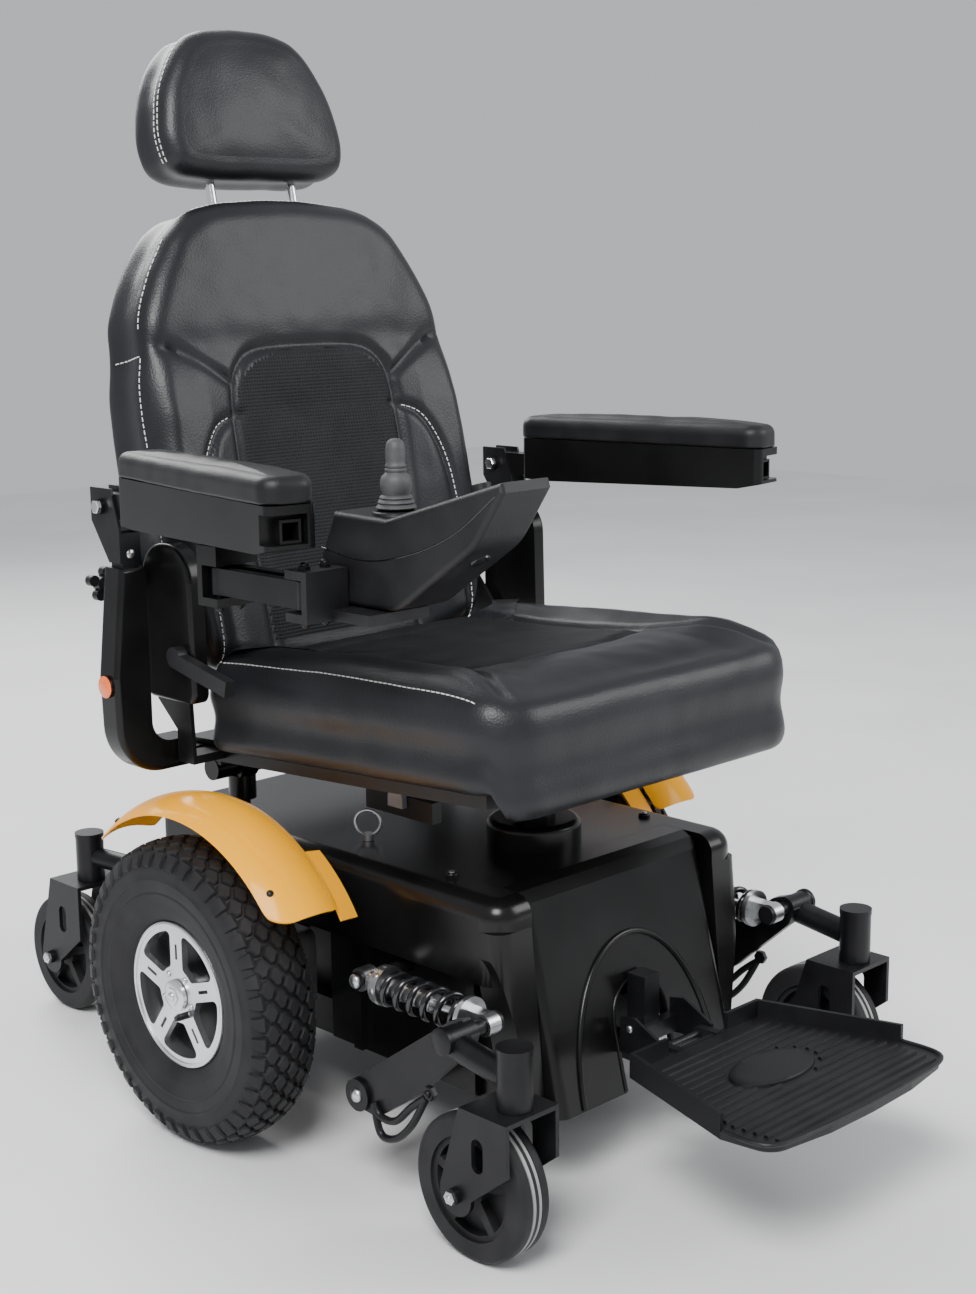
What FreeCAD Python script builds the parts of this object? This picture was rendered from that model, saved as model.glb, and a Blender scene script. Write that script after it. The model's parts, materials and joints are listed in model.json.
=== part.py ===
import FreeCAD, Part
import math
import os

V = FreeCAD.Vector
os.makedirs("parts", exist_ok=True)

# Mid-wheel-drive power wheelchair. Millimetres, +Z up, the user faces -Y, the user's left is +X.
# Shapes are built with y = 0 at the drive axle and shifted by AXLE_Y when they are written.

# ---- driving dimensions -------------------------------------------------------------------------
FOOT_FRONT = 706.0
REAR_END = 530.5
AXLE_Y = (FOOT_FRONT - REAR_END) / 2

TYRE_R = 177.5
TYRE_HALF = 42.5
RIM_R = 84.5
TRACK = 310.0
SHAFT_R = 8.5

CASTER_R = 78.0
CASTER_HALF = 20.0
CASTER_TRAIL = 47.5
FRONT_CASTER_X = 287.0
FRONT_BARREL_Y = -481.5
FRONT_BARREL_Z = (174.0, 238.0)
REAR_CASTER_X = 190.0
REAR_BARREL_Y = REAR_END - CASTER_R - CASTER_TRAIL
REAR_BARREL_Z = (190.0, 254.0)
BARREL_R = 18.3
KINGPIN_R = 8.0

ARM_PIVOT = (-235.0, 108.7)
SHOCK_PIN = (-396.0, 223.4)
SHOCK_EYE = (-206.0, 223.4)
SHOCK_X = 239.0

RUNNING = 0.05
GAP = 0.3

SEAT_TILT = 3.5
SEAT_TILT_PIVOT = (100.0, 440.0)
SEAT_HALF = 248.0
BACK_LEAN = 12.0
BACK_HINGE = (100.0, 520.0)
HEADREST_POST_X = 64.0

POST_X = 314.0
POST_Y = 107.0
POST_HALF = 11.0
ARM_TOE_OUT = 10.2
ARM_REAR = (315.0, 70.8)
ARM_PIVOT_UP = (130.0, 722.7)
ARM_LENGTH = 352.0
ARM_HALF = 28.0

STICK = (-272.0, -308.0, 722.0)
LINK_X = (-350.0, -324.0)
LINK_Y = (-117.0, -257.0)
PANEL_TILT = 16.5
PANEL_EDGE = (-326.6, 744.0)


# ---- shape helpers ------------------------------------------------------------------------------
def box(x0, x1, y0, y1, z0, z1):
    return Part.makeBox(x1 - x0, y1 - y0, z1 - z0, V(x0, y0, z0))


def cyl_x(x0, x1, y, z, r):
    return Part.makeCylinder(r, x1 - x0, V(x0, y, z), V(1, 0, 0))


def cyl_y(y0, y1, x, z, r):
    return Part.makeCylinder(r, y1 - y0, V(x, y0, z), V(0, 1, 0))


def cyl_z(z0, z1, x, y, r):
    return Part.makeCylinder(r, z1 - z0, V(x, y, z0), V(0, 0, 1))


def strut(a, b, r):
    start = V(*a)
    run = V(*b) - start
    return Part.makeCylinder(r, run.Length, start, run)


def prism(points, direction):
    face = Part.Face(Part.makePolygon(points + [points[0]]))
    return face.extrude(direction)


def prism_x(yz, x0, x1):
    return prism([V(x0, y, z) for y, z in yz], V(x1 - x0, 0, 0))


def prism_y(xz, y0, y1):
    return prism([V(x, y0, z) for x, z in xz], V(0, y1 - y0, 0))


def prism_z(xy, z0, z1):
    return prism([V(x, y, z0) for x, y in xy], V(0, 0, z1 - z0))


def turn_x(shape, y, z, degrees):
    """Turn about an axis along X, positive when points on the front side go up."""
    turned = shape.copy()
    turned.rotate(V(0, y, z), V(-1, 0, 0), degrees)
    return turned


def mirror(shape):
    return shape.mirror(V(0, 0, 0), V(1, 0, 0))


def round_edges(shape, radius, wanted):
    edges = [e for e in shape.Edges if wanted(e)]
    return shape.makeFillet(radius, edges)


def spans(edge, axis):
    """True when an edge is a straight line along the named axis."""
    if len(edge.Vertexes) != 2:
        return False
    run = edge.Vertexes[1].Point - edge.Vertexes[0].Point
    part = {"x": run.x, "y": run.y, "z": run.z}[axis]
    return run.Length > 1 and abs(abs(part) - run.Length) < 0.001


def write(name, *solids):
    moved = []
    for solid in solids:
        placed = solid.copy()
        placed.translate(V(0, AXLE_Y, 0))
        moved.append(placed)
    shape = moved[0] if len(moved) == 1 else Part.makeCompound(moved)
    shape.exportStep("parts/" + name + ".step")
    volume = sum(s.Volume for s in moved)
    print(name, len(shape.Solids), round(volume), shape.isValid())


def write_pair(name, *solids):
    """The solids are drawn on the user's left; the right side is their mirror image."""
    write(name + "_left", *solids)
    write(name + "_right", *[mirror(s) for s in solids])


# ---- drive wheels -------------------------------------------------------------------------------
def wheel_section(outline):
    """Revolves closed edges drawn as (x, radius) about the drive axle."""
    edges = []
    for kind, points in outline:
        p = [V(TRACK + x, 0, TYRE_R + r) for x, r in points]
        edges.append(Part.LineSegment(*p).toShape() if kind == "line" else Part.Arc(*p).toShape())
    face = Part.Face(Part.Wire(edges))
    return face.revolve(V(0, 0, TYRE_R), V(1, 0, 0), 360)


def drive_tyre():
    bead = (33.0, RIM_R + 0.5)
    shoulder = (38.0, 167.0)
    belly = (TYRE_HALF, 124.0)

    def left(p):
        return (-p[0], p[1])

    return wheel_section([
        ("line", (left(bead), bead)),
        ("arc", (bead, belly, shoulder)),
        ("arc", (shoulder, (0.0, TYRE_R), left(shoulder))),
        ("arc", (left(shoulder), left(belly), left(bead))),
    ])


def drive_rim():
    face_x = TRACK + 34.0
    disc_back = face_x - 9.0
    hub_r = 21.0
    window_in, window_out = 33.0, 74.0
    spoke_half = 11.0
    barrel = cyl_x(TRACK - 33, face_x - 1, 0, TYRE_R, RIM_R)
    barrel = barrel.cut(cyl_x(TRACK - 40, disc_back, 0, TYRE_R, 78.0))
    hub = cyl_x(TRACK - 28, disc_back + 1, 0, TYRE_R, hub_r)
    windows = cyl_x(disc_back - 2, face_x + 2, 0, TYRE_R, window_out)
    windows = windows.cut(cyl_x(disc_back - 2, face_x + 2, 0, TYRE_R, window_in))
    slots = []
    for i in range(5):
        spoke = box(disc_back - 3, face_x + 3, -spoke_half, spoke_half, TYRE_R, TYRE_R + 90)
        windows = windows.cut(turn_x(spoke, 0, TYRE_R, 72 * i))
        slot = box(disc_back - 3, face_x + 3, -2, 2, TYRE_R + 42, TYRE_R + 60)
        slots.append(turn_x(slot, 0, TYRE_R, 72 * i))
    windows = round_edges(windows, 6.0, lambda e: spans(e, "x"))
    rim = barrel.fuse(hub).cut(windows)
    for slot in slots:
        rim = rim.cut(slot)
    bore = cyl_x(TRACK - 40, TRACK - 6, 0, TYRE_R, SHAFT_R + RUNNING)
    return rim.cut(bore).removeSplitter()


def wheel_nut():
    ring = [math.radians(60 * i) for i in range(6)]
    hexagon = [(11 * math.cos(a), TYRE_R + 11 * math.sin(a)) for a in ring]
    return prism_x(hexagon, TRACK + 33.0, TRACK + 42.0)


def valve_stem():
    return cyl_x(TRACK + 33.0, TRACK + 41.0, -18.0, TYRE_R - 19.0, 3.0)


write_pair("drive_tyre", drive_tyre())
write_pair("drive_rim", drive_rim(), wheel_nut(), valve_stem())


# ---- base: chassis, batteries, motors -----------------------------------------------------------
RAIL_X = (140.0, 160.0)
RAIL_Y = (-290.0, 272.0)
RAIL_Z = (95.0, 135.0)
TRAY_Z = (91.0, 95.0)
DECK_Z = (276.0, 282.0)
SUPPORT_Y = 120.0
SUPPORT_X = 150.0
SUPPORT_TOP = 378.0
REAR_STRUT = ((150.0, 258.0, 148.0), (165.0, 312.0, 216.0), (REAR_CASTER_X, REAR_BARREL_Y, 222.0))
STRUT_R = 13.0


def barrel(x, y, z0, z1):
    cap_height = 6.0
    tube = cyl_z(z0, z1 - cap_height, x, y, BARREL_R)
    cap = cyl_z(z1 - cap_height, z1, x, y, BARREL_R + 0.7)
    return tube.fuse(cap)


def barrel_bore(x, y, z0, z1):
    return cyl_z(z0 - 1, z1 - 12, x, y, KINGPIN_R + RUNNING)


def rear_strut(radius):
    root, knee, end = REAR_STRUT
    elbow = Part.makeSphere(radius, V(*knee))
    return strut(root, knee, radius).multiFuse([elbow, strut(knee, end, radius)])


def base_side():
    rail = box(RAIL_X[0], RAIL_X[1], RAIL_Y[0], RAIL_Y[1], RAIL_Z[0], RAIL_Z[1])
    shock_plate = box(RAIL_X[1] - 2, 168, -240, -170, RAIL_Z[0], 245)
    shock_stud = cyl_x(166, 252, SHOCK_EYE[0], SHOCK_EYE[1], 6.0)
    shock_nut = cyl_x(248.4, 254, SHOCK_EYE[0], SHOCK_EYE[1], 10.0)
    pivot_pin = cyl_x(150, 277, ARM_PIVOT[0], ARM_PIVOT[1], 10.0)
    pivot_cap = cyl_x(276.4, 281, ARM_PIVOT[0], ARM_PIVOT[1], 18.0)
    upright = box(RAIL_X[0] + 6, RAIL_X[1], -290, -180, RAIL_Z[1] - 1, DECK_Z[0] + 1)
    support = cyl_z(RAIL_Z[1] - 1, SUPPORT_TOP, SUPPORT_X, SUPPORT_Y, 9.5)
    rear_arm = rear_strut(STRUT_R)
    arm_root = box(RAIL_X[0], RAIL_X[1], 235, RAIL_Y[1], RAIL_Z[1] - 1, 160)
    caster_barrel = barrel(REAR_CASTER_X, REAR_BARREL_Y, *REAR_BARREL_Z)
    pieces = [shock_plate, shock_stud, shock_nut, pivot_pin, pivot_cap, upright, support,
              rear_arm, arm_root, caster_barrel]
    side = rail.multiFuse(pieces)
    return side.cut(barrel_bore(REAR_CASTER_X, REAR_BARREL_Y, *REAR_BARREL_Z))


def base_frame():
    left = base_side()
    tray = box(-RAIL_X[1], RAIL_X[1], RAIL_Y[0], RAIL_Y[1], TRAY_Z[0], TRAY_Z[1])
    front = box(-RAIL_X[0], RAIL_X[0], RAIL_Y[0], -265, RAIL_Z[0], RAIL_Z[1])
    rear = box(-RAIL_X[0], RAIL_X[0], 250, RAIL_Y[1], RAIL_Z[0], RAIL_Z[1])
    deck = box(-RAIL_X[1], RAIL_X[1], -290, -180, DECK_Z[0], DECK_Z[1])
    return left.multiFuse([mirror(left), tray, front, rear, deck]).removeSplitter()


def battery(x):
    case = box(x - 65, x + 65, -176, 20, 95, 262)
    case = round_edges(case, 4.0, lambda e: spans(e, "z"))
    posts = [cyl_z(261, 270, x + dx, -20, 8) for dx in (-40, 40)]
    return case.multiFuse(posts)


def control_module():
    case = box(-80, 80, 60, 190, 95, 150)
    case = round_edges(case, 5.0, lambda e: spans(e, "z"))
    fins = [box(x - 2, x + 2, 66, 184, 149, 160) for x in range(-70, 71, 14)]
    return case.multiFuse(fins)


GEARBOX_X = (176.0, 255.0)
MOTOR_X = 212.0
LEVER_Y = 200.0
LEVER_Z = (219.0, 224.0)


def gearmotor():
    gearbox = box(GEARBOX_X[0], GEARBOX_X[1], -45, 45, 132, 223)
    gearbox = round_edges(gearbox, 12.0, lambda e: spans(e, "x"))
    motor = cyl_y(44, 225, MOTOR_X, TYRE_R, 37.0)
    brake = cyl_y(224, 246, MOTOR_X, TYRE_R, 30.0)
    shaft = cyl_x(GEARBOX_X[1] - 1, TRACK - 10, 0, TYRE_R, SHAFT_R)
    stud = cyl_z(205, LEVER_Z[1] + 3, MOTOR_X, LEVER_Y, 3.0)
    seat = cyl_z(205, LEVER_Z[0] - GAP, MOTOR_X, LEVER_Y, 9.0)
    return gearbox.multiFuse([motor, brake, shaft, stud, seat])


def freewheel_lever():
    hub = cyl_z(LEVER_Z[0], LEVER_Z[1], MOTOR_X, LEVER_Y, 9.0)
    blade = box(MOTOR_X - 6, MOTOR_X + 6, LEVER_Y, LEVER_Y + 62, LEVER_Z[0], LEVER_Z[1])
    grip = cyl_z(LEVER_Z[0], LEVER_Z[1] + 8, MOTOR_X, LEVER_Y + 60, 8.0)
    lever = hub.multiFuse([blade, grip])
    return lever.cut(cyl_z(200, 240, MOTOR_X, LEVER_Y, 3.0 + RUNNING))


# ---- covers -------------------------------------------------------------------------------------
COVER_HALF = 200.0
COVER_Z = (240.0, 333.0)
SHROUD_HALF = 150.0
SHROUD_BACK = -300.0
WALL = 4.0
PANEL_X = (171.0, 174.0)
POST_BOOT = (0.0, -232.0, 55.0)
DECK_BACK = 275.5


def front_shroud():
    outer = prism_x([(-413.6, 90), (-357, 318), (-345, 329), (-330, 333), (SHROUD_BACK, 333),
                     (SHROUD_BACK, 90)], -SHROUD_HALF, SHROUD_HALF)
    outer = round_edges(outer, 16.0, lambda e: not spans(e, "y") and not spans(e, "x")
                        and e.BoundBox.YMax < -340 and e.Length > 100)
    inner = prism_x([(-410.5, 80), (-352.5, 316.5), (-343, 325.2), (-329, 329), (-290, 329),
                     (-290, 80)], WALL - SHROUD_HALF, SHROUD_HALF - WALL)
    inner = round_edges(inner, 12.0, lambda e: not spans(e, "y") and not spans(e, "x")
                        and e.BoundBox.YMax < -340 and e.Length > 100)
    slot_half = 42.0
    slot_top = 163.0
    arch = box(-slot_half, slot_half, -450, -330, 80, slot_top)
    arch = arch.fuse(cyl_y(-450, -330, 0, slot_top, slot_half))
    return outer.cut(inner).cut(arch)


def top_cover():
    outer = box(-COVER_HALF, COVER_HALF, -374, 150, COVER_Z[0], COVER_Z[1])
    outer = round_edges(outer, 30.0, lambda e: spans(e, "z") and e.BoundBox.YMax < -300)
    outer = round_edges(outer, 22.0, lambda e: e.BoundBox.ZMin > COVER_Z[1] - 1
                        and not (spans(e, "x") and e.BoundBox.YMin > 100))
    cavity = box(WALL - COVER_HALF, COVER_HALF - WALL, -335, 160, COVER_Z[0] - 5, COVER_Z[1] - WALL)
    cavity = round_edges(cavity, 18.0, lambda e: e.BoundBox.ZMin > 328 and spans(e, "y"))
    notch = box(-SHROUD_HALF - 0.5, SHROUD_HALF + 0.5, -420, SHROUD_BACK + 0.5, 80, 340)
    cover = outer.cut(cavity)
    for side in (-1, 1):
        inner, outer_x = SHROUD_HALF + 1, COVER_HALF
        pillar = prism_x([(-374, 300), (-392, 98), (-345, 98), (-334, 300)], inner, outer_x)
        pillar = round_edges(pillar, 18.0, lambda e: not spans(e, "x")
                             and e.BoundBox.XMin > outer_x - 1 and e.BoundBox.YMax < -360)
        shelf = box(PANEL_X[0], COVER_HALF, -334, -70, COVER_Z[0], COVER_Z[0] + 4)
        panel = box(PANEL_X[0], PANEL_X[1], -344, -70, 98, COVER_Z[0] + 2)
        ribs = [box(PANEL_X[1] - 1, PANEL_X[1] + 9, y, y + 14, 100, COVER_Z[0] + 1)
                for y in (-318, -132)]
        holes = [cyl_x(160, 190, ARM_PIVOT[0], ARM_PIVOT[1], 13),
                 cyl_x(160, 190, SHOCK_EYE[0], SHOCK_EYE[1], 9)]
        skirt = panel.multiFuse([shelf] + ribs)
        for hole in holes:
            skirt = skirt.cut(hole)
        flare = prism_y([(166, 98), (outer_x, 270), (outer_x + 9, 270), (outer_x + 9, 80),
                         (166, 80)], -420, -320)
        added = skirt.fuse(pillar.cut(flare))
        cover = cover.fuse(added if side > 0 else mirror(added))
    cover = cover.cut(notch)
    openings = [cyl_z(300, 350, POST_BOOT[0], POST_BOOT[1], 30.0),
                cyl_z(300, 350, -SUPPORT_X, SUPPORT_Y, 11.0),
                cyl_z(300, 350, SUPPORT_X, SUPPORT_Y, 11.0),
                cyl_z(300, 350, RELEASE[0], RELEASE[1], 4.0 + RUNNING)]
    for opening in openings:
        cover = cover.cut(opening)
    return cover.removeSplitter()


def rear_deck():
    outer = box(-168, 168, 150.5, DECK_BACK, 140, 318)
    outer = round_edges(outer, 20.0, lambda e: e.BoundBox.YMin > DECK_BACK - 1
                        and not spans(e, "y") and e.BoundBox.ZMax > 200)
    inner = box(-164, 164, 145, DECK_BACK - WALL, 130, 314)
    inner = round_edges(inner, 16.0, lambda e: e.BoundBox.YMin > DECK_BACK - WALL - 1
                        and not spans(e, "y") and e.BoundBox.ZMax > 200)
    shell = outer.cut(inner)
    tube = rear_strut(STRUT_R + 1.5)
    root = box(RAIL_X[0] - 1, RAIL_X[1] + 1, 230, DECK_BACK + 5, 130, 163)
    for solid in (tube, mirror(tube), root, mirror(root)):
        shell = shell.cut(solid)
    return shell


FENDER_AXIS = (-14.0, 174.0)


def fender_arc(section, start, sweep):
    """Sweeps (x, radius) edges round the wheel; angles run up from the front."""
    edges = []
    for points in section:
        p = [V(x, FENDER_AXIS[0] - r, FENDER_AXIS[1]) for x, r in points]
        edges.append(Part.LineSegment(*p).toShape() if len(p) == 2 else Part.Arc(*p).toShape())
    face = turn_x(Part.Face(Part.Wire(edges)), FENDER_AXIS[0], FENDER_AXIS[1], start)
    return face.revolve(V(0, FENDER_AXIS[0], FENDER_AXIS[1]), V(-1, 0, 0), sweep)


def fender_corner(x, facing, radius, angle, up):
    """What is trimmed from a corner of the fender to leave it rounded."""
    y, z = FENDER_AXIS
    centre_x, centre_z = x - facing * radius, z + up * radius
    xs = sorted((centre_x, x + facing * 5))
    zs = sorted((centre_z, z - up * 5))
    corner = box(xs[0], xs[1], y - 245, y - 190, zs[0], zs[1])
    corner = corner.cut(cyl_y(y - 250, y - 185, centre_x, centre_z, radius))
    return turn_x(corner, y, z, angle)


def fender():
    skin = 3.0
    lip_out, crown, lip_in = (352.0, 215.0), (308.0, 233.0), (264.0, 222.0)
    shell = fender_arc([
        (lip_out, crown, lip_in),
        (lip_in, (lip_in[0] + skin, lip_in[1] - 1)),
        ((lip_in[0] + skin, lip_in[1] - 1), (crown[0], crown[1] - skin), (lip_out[0] - skin, 214.5)),
        ((lip_out[0] - skin, 214.5), lip_out),
    ], 36, 99)
    for x, facing, radius in ((lip_out[0], 1, 26.0), (lip_in[0], -1, 12.0)):
        for angle, up in ((36, 1), (135, -1)):
            shell = shell.cut(fender_corner(x, facing, radius, angle, up))
    stay = prism_y([(200.2, 286), (204.2, 286), (206, 300), (268, 388), (266, 396), (200.2, 304)], -34, 6)
    return shell.fuse(stay)


def fender_flap():
    return fender_arc([
        ((236.0, 209.0), (262.0, 214.0)),
        ((262.0, 214.0), (262.0, 217.0)),
        ((262.0, 217.0), (236.0, 212.0)),
        ((236.0, 212.0), (236.0, 209.0)),
    ], 33, 24)


RELEASE = (-132.0, -92.0)


def release_pin():
    shaft = cyl_z(300, COVER_Z[1] + 3, RELEASE[0], RELEASE[1], 4.0)
    head = cyl_z(COVER_Z[1] + GAP, COVER_Z[1] + 8, RELEASE[0], RELEASE[1], 7.0)
    ring = Part.makeTorus(15.0, 1.8, V(RELEASE[0], RELEASE[1], COVER_Z[1] + 21), V(1, 0.8, 0))
    return shaft.multiFuse([head, ring])


def cover_plugs():
    spots = [(160, -262), (-160, -262), (168, 60), (-168, 60)]
    plugs = []
    for x, y in spots:
        plug = cyl_z(COVER_Z[1], COVER_Z[1] + 5, x, y, 7.0)
        plugs.append(round_edges(plug, 2.5, lambda e: e.BoundBox.ZMin > COVER_Z[1] + 4))
    return plugs


# ---- foot support -------------------------------------------------------------------------------
FOOT_HINGE = (-455.0, 150.0)
PLATE_Z = (147.0, 155.0)


def footplate_mount():
    tube = box(-12.5, 12.5, -412, -387, 112, 215)
    reach = box(-12.5, 12.5, -388, RAIL_Y[0], 112, 134)
    yoke = box(-44, 44, -418, -404, 141, 160)
    plates = []
    for x in (-44, 40):
        plate = prism_x([(-404, 136), (-404, 176), (-424, 180), (-464, 160), (-464, 140)], x, x + 4)
        plates.append(plate)
    pin = cyl_x(-44, 44, FOOT_HINGE[0], FOOT_HINGE[1], 5.0)
    return tube.multiFuse([reach, yoke, pin] + plates)


def footplate():
    half = [(0, -474), (108, -474), (158, -635), (150, -692), (70, -704), (0, -FOOT_FRONT)]
    outline = half + [(-x, y) for x, y in reversed(half[1:-1])]
    floor = prism_z(outline, *PLATE_Z)
    floor = round_edges(floor, 24.0, lambda e: spans(e, "z") and e.BoundBox.YMax < -640)
    inset = [(0, -479), (104, -479), (153.4, -635), (0, -636)]
    inner = inset + [(-x, y) for x, y in reversed(inset[1:-1])]
    rim_half = [(0, -474), (108, -474), (158, -635), (0, -635)]
    rim = prism_z(rim_half + [(-x, y) for x, y in reversed(rim_half[1:-1])], PLATE_Z[1] - 1, 174)
    rim = rim.cut(prism_z(inner, PLATE_Z[1] - 2, 180))
    rim = rim.cut(box(-50, 50, -484, -470, PLATE_Z[1] + 1, 180))
    lugs = []
    for x in (-38, 28):
        arm = box(x, x + 10, -480, FOOT_HINGE[0], 142, 158)
        eye = cyl_x(x, x + 10, FOOT_HINGE[0], FOOT_HINGE[1], 8.0)
        lugs += [arm, eye]
    plate = floor.multiFuse([rim] + lugs)
    return plate.cut(cyl_x(-60, 60, FOOT_HINGE[0], FOOT_HINGE[1], 5.0 + RUNNING))


# ---- suspension ---------------------------------------------------------------------------------
def front_arm():
    sleeve = cyl_x(182, 276, ARM_PIVOT[0], ARM_PIVOT[1], 17.0)
    web = prism_x([(-226, 124), (-226, 94), (-262, 90), (-320, 130), (-402, 204), (-410, 224),
                   (-396, 238), (-378, 232)], 264, 276)
    cross = cyl_x(264, 300, SHOCK_PIN[0], SHOCK_PIN[1], 13.0)
    pin = cyl_x(226, 266, SHOCK_PIN[0], SHOCK_PIN[1], 8.0)
    keeper = cyl_x(226, 230.4, SHOCK_PIN[0], SHOCK_PIN[1], 11.0)
    tube = strut((FRONT_CASTER_X, -392, 216), (FRONT_CASTER_X, FRONT_BARREL_Y, 203), 14.0)
    top = barrel(FRONT_CASTER_X, FRONT_BARREL_Y, *FRONT_BARREL_Z)
    arm = sleeve.multiFuse([web, cross, pin, keeper, tube, top])
    arm = arm.cut(cyl_x(170, 276, ARM_PIVOT[0], ARM_PIVOT[1], 10.0 + RUNNING))
    return arm.cut(barrel_bore(FRONT_CASTER_X, FRONT_BARREL_Y, *FRONT_BARREL_Z))


SPRING_Y = (-366.0, -246.0)


def shock_body():
    y, z = SHOCK_EYE
    eye = cyl_x(230, 248, y, z, 13.0)
    damper = cyl_y(-318, y - 11, SHOCK_X, z, 10.5)
    collar = cyl_y(SPRING_Y[1] + GAP, SPRING_Y[1] + 12, SHOCK_X, z, 22.0)
    body = eye.multiFuse([damper, collar])
    body = body.cut(cyl_x(220, 260, y, z, 6.0 + RUNNING))
    return body.cut(cyl_y(-330, -250, SHOCK_X, z, 5.0 + RUNNING))


def shock_rod():
    y, z = SHOCK_PIN
    rod = cyl_y(y + 4, -285, SHOCK_X, z, 5.0)
    seat = cyl_y(SPRING_Y[0] - 6, SPRING_Y[0] - GAP, SHOCK_X, z, 22.0)
    clevis = box(SHOCK_X - 8, SHOCK_X + 8, y - 1, SPRING_Y[0] - 5, z - 11, z + 11)
    eye = cyl_x(SHOCK_X - 8, SHOCK_X + 8, y, z, 12.0)
    piece = rod.multiFuse([seat, clevis, eye])
    return piece.cut(cyl_x(220, 260, y, z, 8.8))


def shock_spring():
    turns = 6
    wire_r = 3.4
    coil_r = 18.0
    length = SPRING_Y[1] - SPRING_Y[0] - 2 * wire_r - 1.0
    helix = Part.makeHelix(length / turns, length, coil_r)
    ring = Part.Wire(Part.makeCircle(wire_r, V(coil_r, 0, 0), V(0, 1, 0)))
    coil = Part.Wire(helix).makePipeShell([ring], True, True)
    coil.rotate(V(0, 0, 0), V(1, 0, 0), -90)
    coil.translate(V(SHOCK_X, SPRING_Y[0] + wire_r + 0.5, SHOCK_PIN[1]))
    return coil


# ---- casters ------------------------------------------------------------------------------------
def caster_fork(x, y, z_barrel):
    """Fork under a barrel at (x, y); the axle trails behind the barrel."""
    plate_half, plate_in = 37.5, 32.5
    top = z_barrel - 0.5
    axle_y = y + CASTER_TRAIL
    bridge = box(x - plate_half, x + plate_half, y - 24, y + 42, top - 5, top)
    kingpin = cyl_z(top - 3, z_barrel + 50, x, y, KINGPIN_R)
    fork = bridge.fuse(kingpin)
    for x0 in (x - plate_half, x + plate_in):
        cheek = prism_x([(y - 24, top), (y + 42, top), (axle_y + 22, CASTER_R + 6),
                         (axle_y + 22, CASTER_R), (axle_y - 22, CASTER_R), (y - 24, CASTER_R + 40)],
                        x0, x0 + plate_half - plate_in)
        foot = cyl_x(x0, x0 + plate_half - plate_in, axle_y, CASTER_R, 22.0)
        oval_y, oval_z = y + 16, (CASTER_R + top) / 2 + 4
        slit = box(x0 - 1, x0 + 6, oval_y - 8, oval_y + 8, oval_z - 10, oval_z + 10)
        for dz in (-10, 10):
            slit = slit.fuse(cyl_x(x0 - 1, x0 + 6, oval_y, oval_z + dz, 8.0))
        fork = fork.fuse(cheek.fuse(foot).cut(slit))
    fork = fork.cut(cyl_x(x - 60, x + 60, axle_y, CASTER_R, 5.1))
    axle = cyl_x(x - plate_half - 6, x + plate_half + 6, axle_y, CASTER_R, 5.0)
    heads = [cyl_x(x - plate_half - 6, x - plate_half, axle_y, CASTER_R, 8.5),
             cyl_x(x + plate_half, x + plate_half + 6, axle_y, CASTER_R, 8.5)]
    return [fork, axle.multiFuse(heads)]


def caster_wheel(x, y):
    hub_r = 55.0
    axle_y = y + CASTER_TRAIL
    tyre = cyl_x(x - CASTER_HALF, x + CASTER_HALF, axle_y, CASTER_R, CASTER_R)
    tyre = tyre.makeFillet(7.0, [e for e in tyre.Edges if not spans(e, "x")])
    for dx in (-7.0, 5.0):
        groove = cyl_x(x + dx, x + dx + 2, axle_y, CASTER_R, CASTER_R + 1)
        tyre = tyre.cut(groove.cut(cyl_x(x + dx, x + dx + 2, axle_y, CASTER_R, CASTER_R - 2.5)))
    tyre = tyre.cut(cyl_x(x - 40, x + 40, axle_y, CASTER_R, hub_r + 0.05))
    hub = cyl_x(x - 16, x + 16, axle_y, CASTER_R, hub_r)
    for side in (-1, 1):
        x0, x1 = sorted((x + side * 5, x + side * 17))
        dish = cyl_x(x0, x1, axle_y, CASTER_R, hub_r - 6).cut(cyl_x(x0, x1, axle_y, CASTER_R, 17))
        for i in range(5):
            spoke = box(x0 - 1, x1 + 1, axle_y - 5, axle_y + 5, CASTER_R, CASTER_R + hub_r)
            dish = dish.cut(turn_x(spoke, axle_y, CASTER_R, 72 * i))
        hub = hub.cut(dish)
    boss = cyl_x(x - 32, x + 32, axle_y, CASTER_R, 10.0)
    hub = hub.fuse(boss).cut(cyl_x(x - 40, x + 40, axle_y, CASTER_R, 5.0 + RUNNING))
    return [tyre, hub]


# ---- seat ---------------------------------------------------------------------------------------
def tilt_seat(shape):
    return turn_x(shape, SEAT_TILT_PIVOT[0], SEAT_TILT_PIVOT[1], SEAT_TILT)


def lean_back(shape):
    leaned = shape.copy()
    leaned.rotate(V(0, BACK_HINGE[0], BACK_HINGE[1]), V(-1, 0, 0), BACK_LEAN)
    return leaned


SUPPORT_TUBE_Z = 392.0
PAN_Z = (434.0, 439.6)


def seat_frame():
    pan = box(-225, 225, -395, 130, *PAN_Z)
    parts = [box(x, x + 22, -380, 128, 414, 435) for x in (-222, 200)]
    parts += [box(x - 10, x + 10, 104, 136, 400, 435) for x in (-185, 185)]
    parts += [box(-50, 50, -282, -182, 424, 435)]
    frame = tilt_seat(pan.multiFuse(parts))
    frame = frame.cut(cyl_x(-240, 240, SUPPORT_Y, SUPPORT_TUBE_Z, 14.0))
    for side in (-1, 1):
        foot = box(218, 267, 56, 86, 422, 432)
        ear = prism_x([(56, 424), (86, 424), (86, 460), (122, 492), (122, 530), (112, 542),
                       (88, 542), (60, 500)], 262, 267)
        arm_bar = box(205, 243, POST_Y - 14, POST_Y + 14, 418, 433)
        pin = cyl_x(252.5, 264, BACK_HINGE[0], BACK_HINGE[1], 6.0)
        bracket = foot.multiFuse([ear, pin, arm_bar])
        frame = frame.fuse(bracket if side > 0 else mirror(bracket))
    return frame.removeSplitter()


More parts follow.
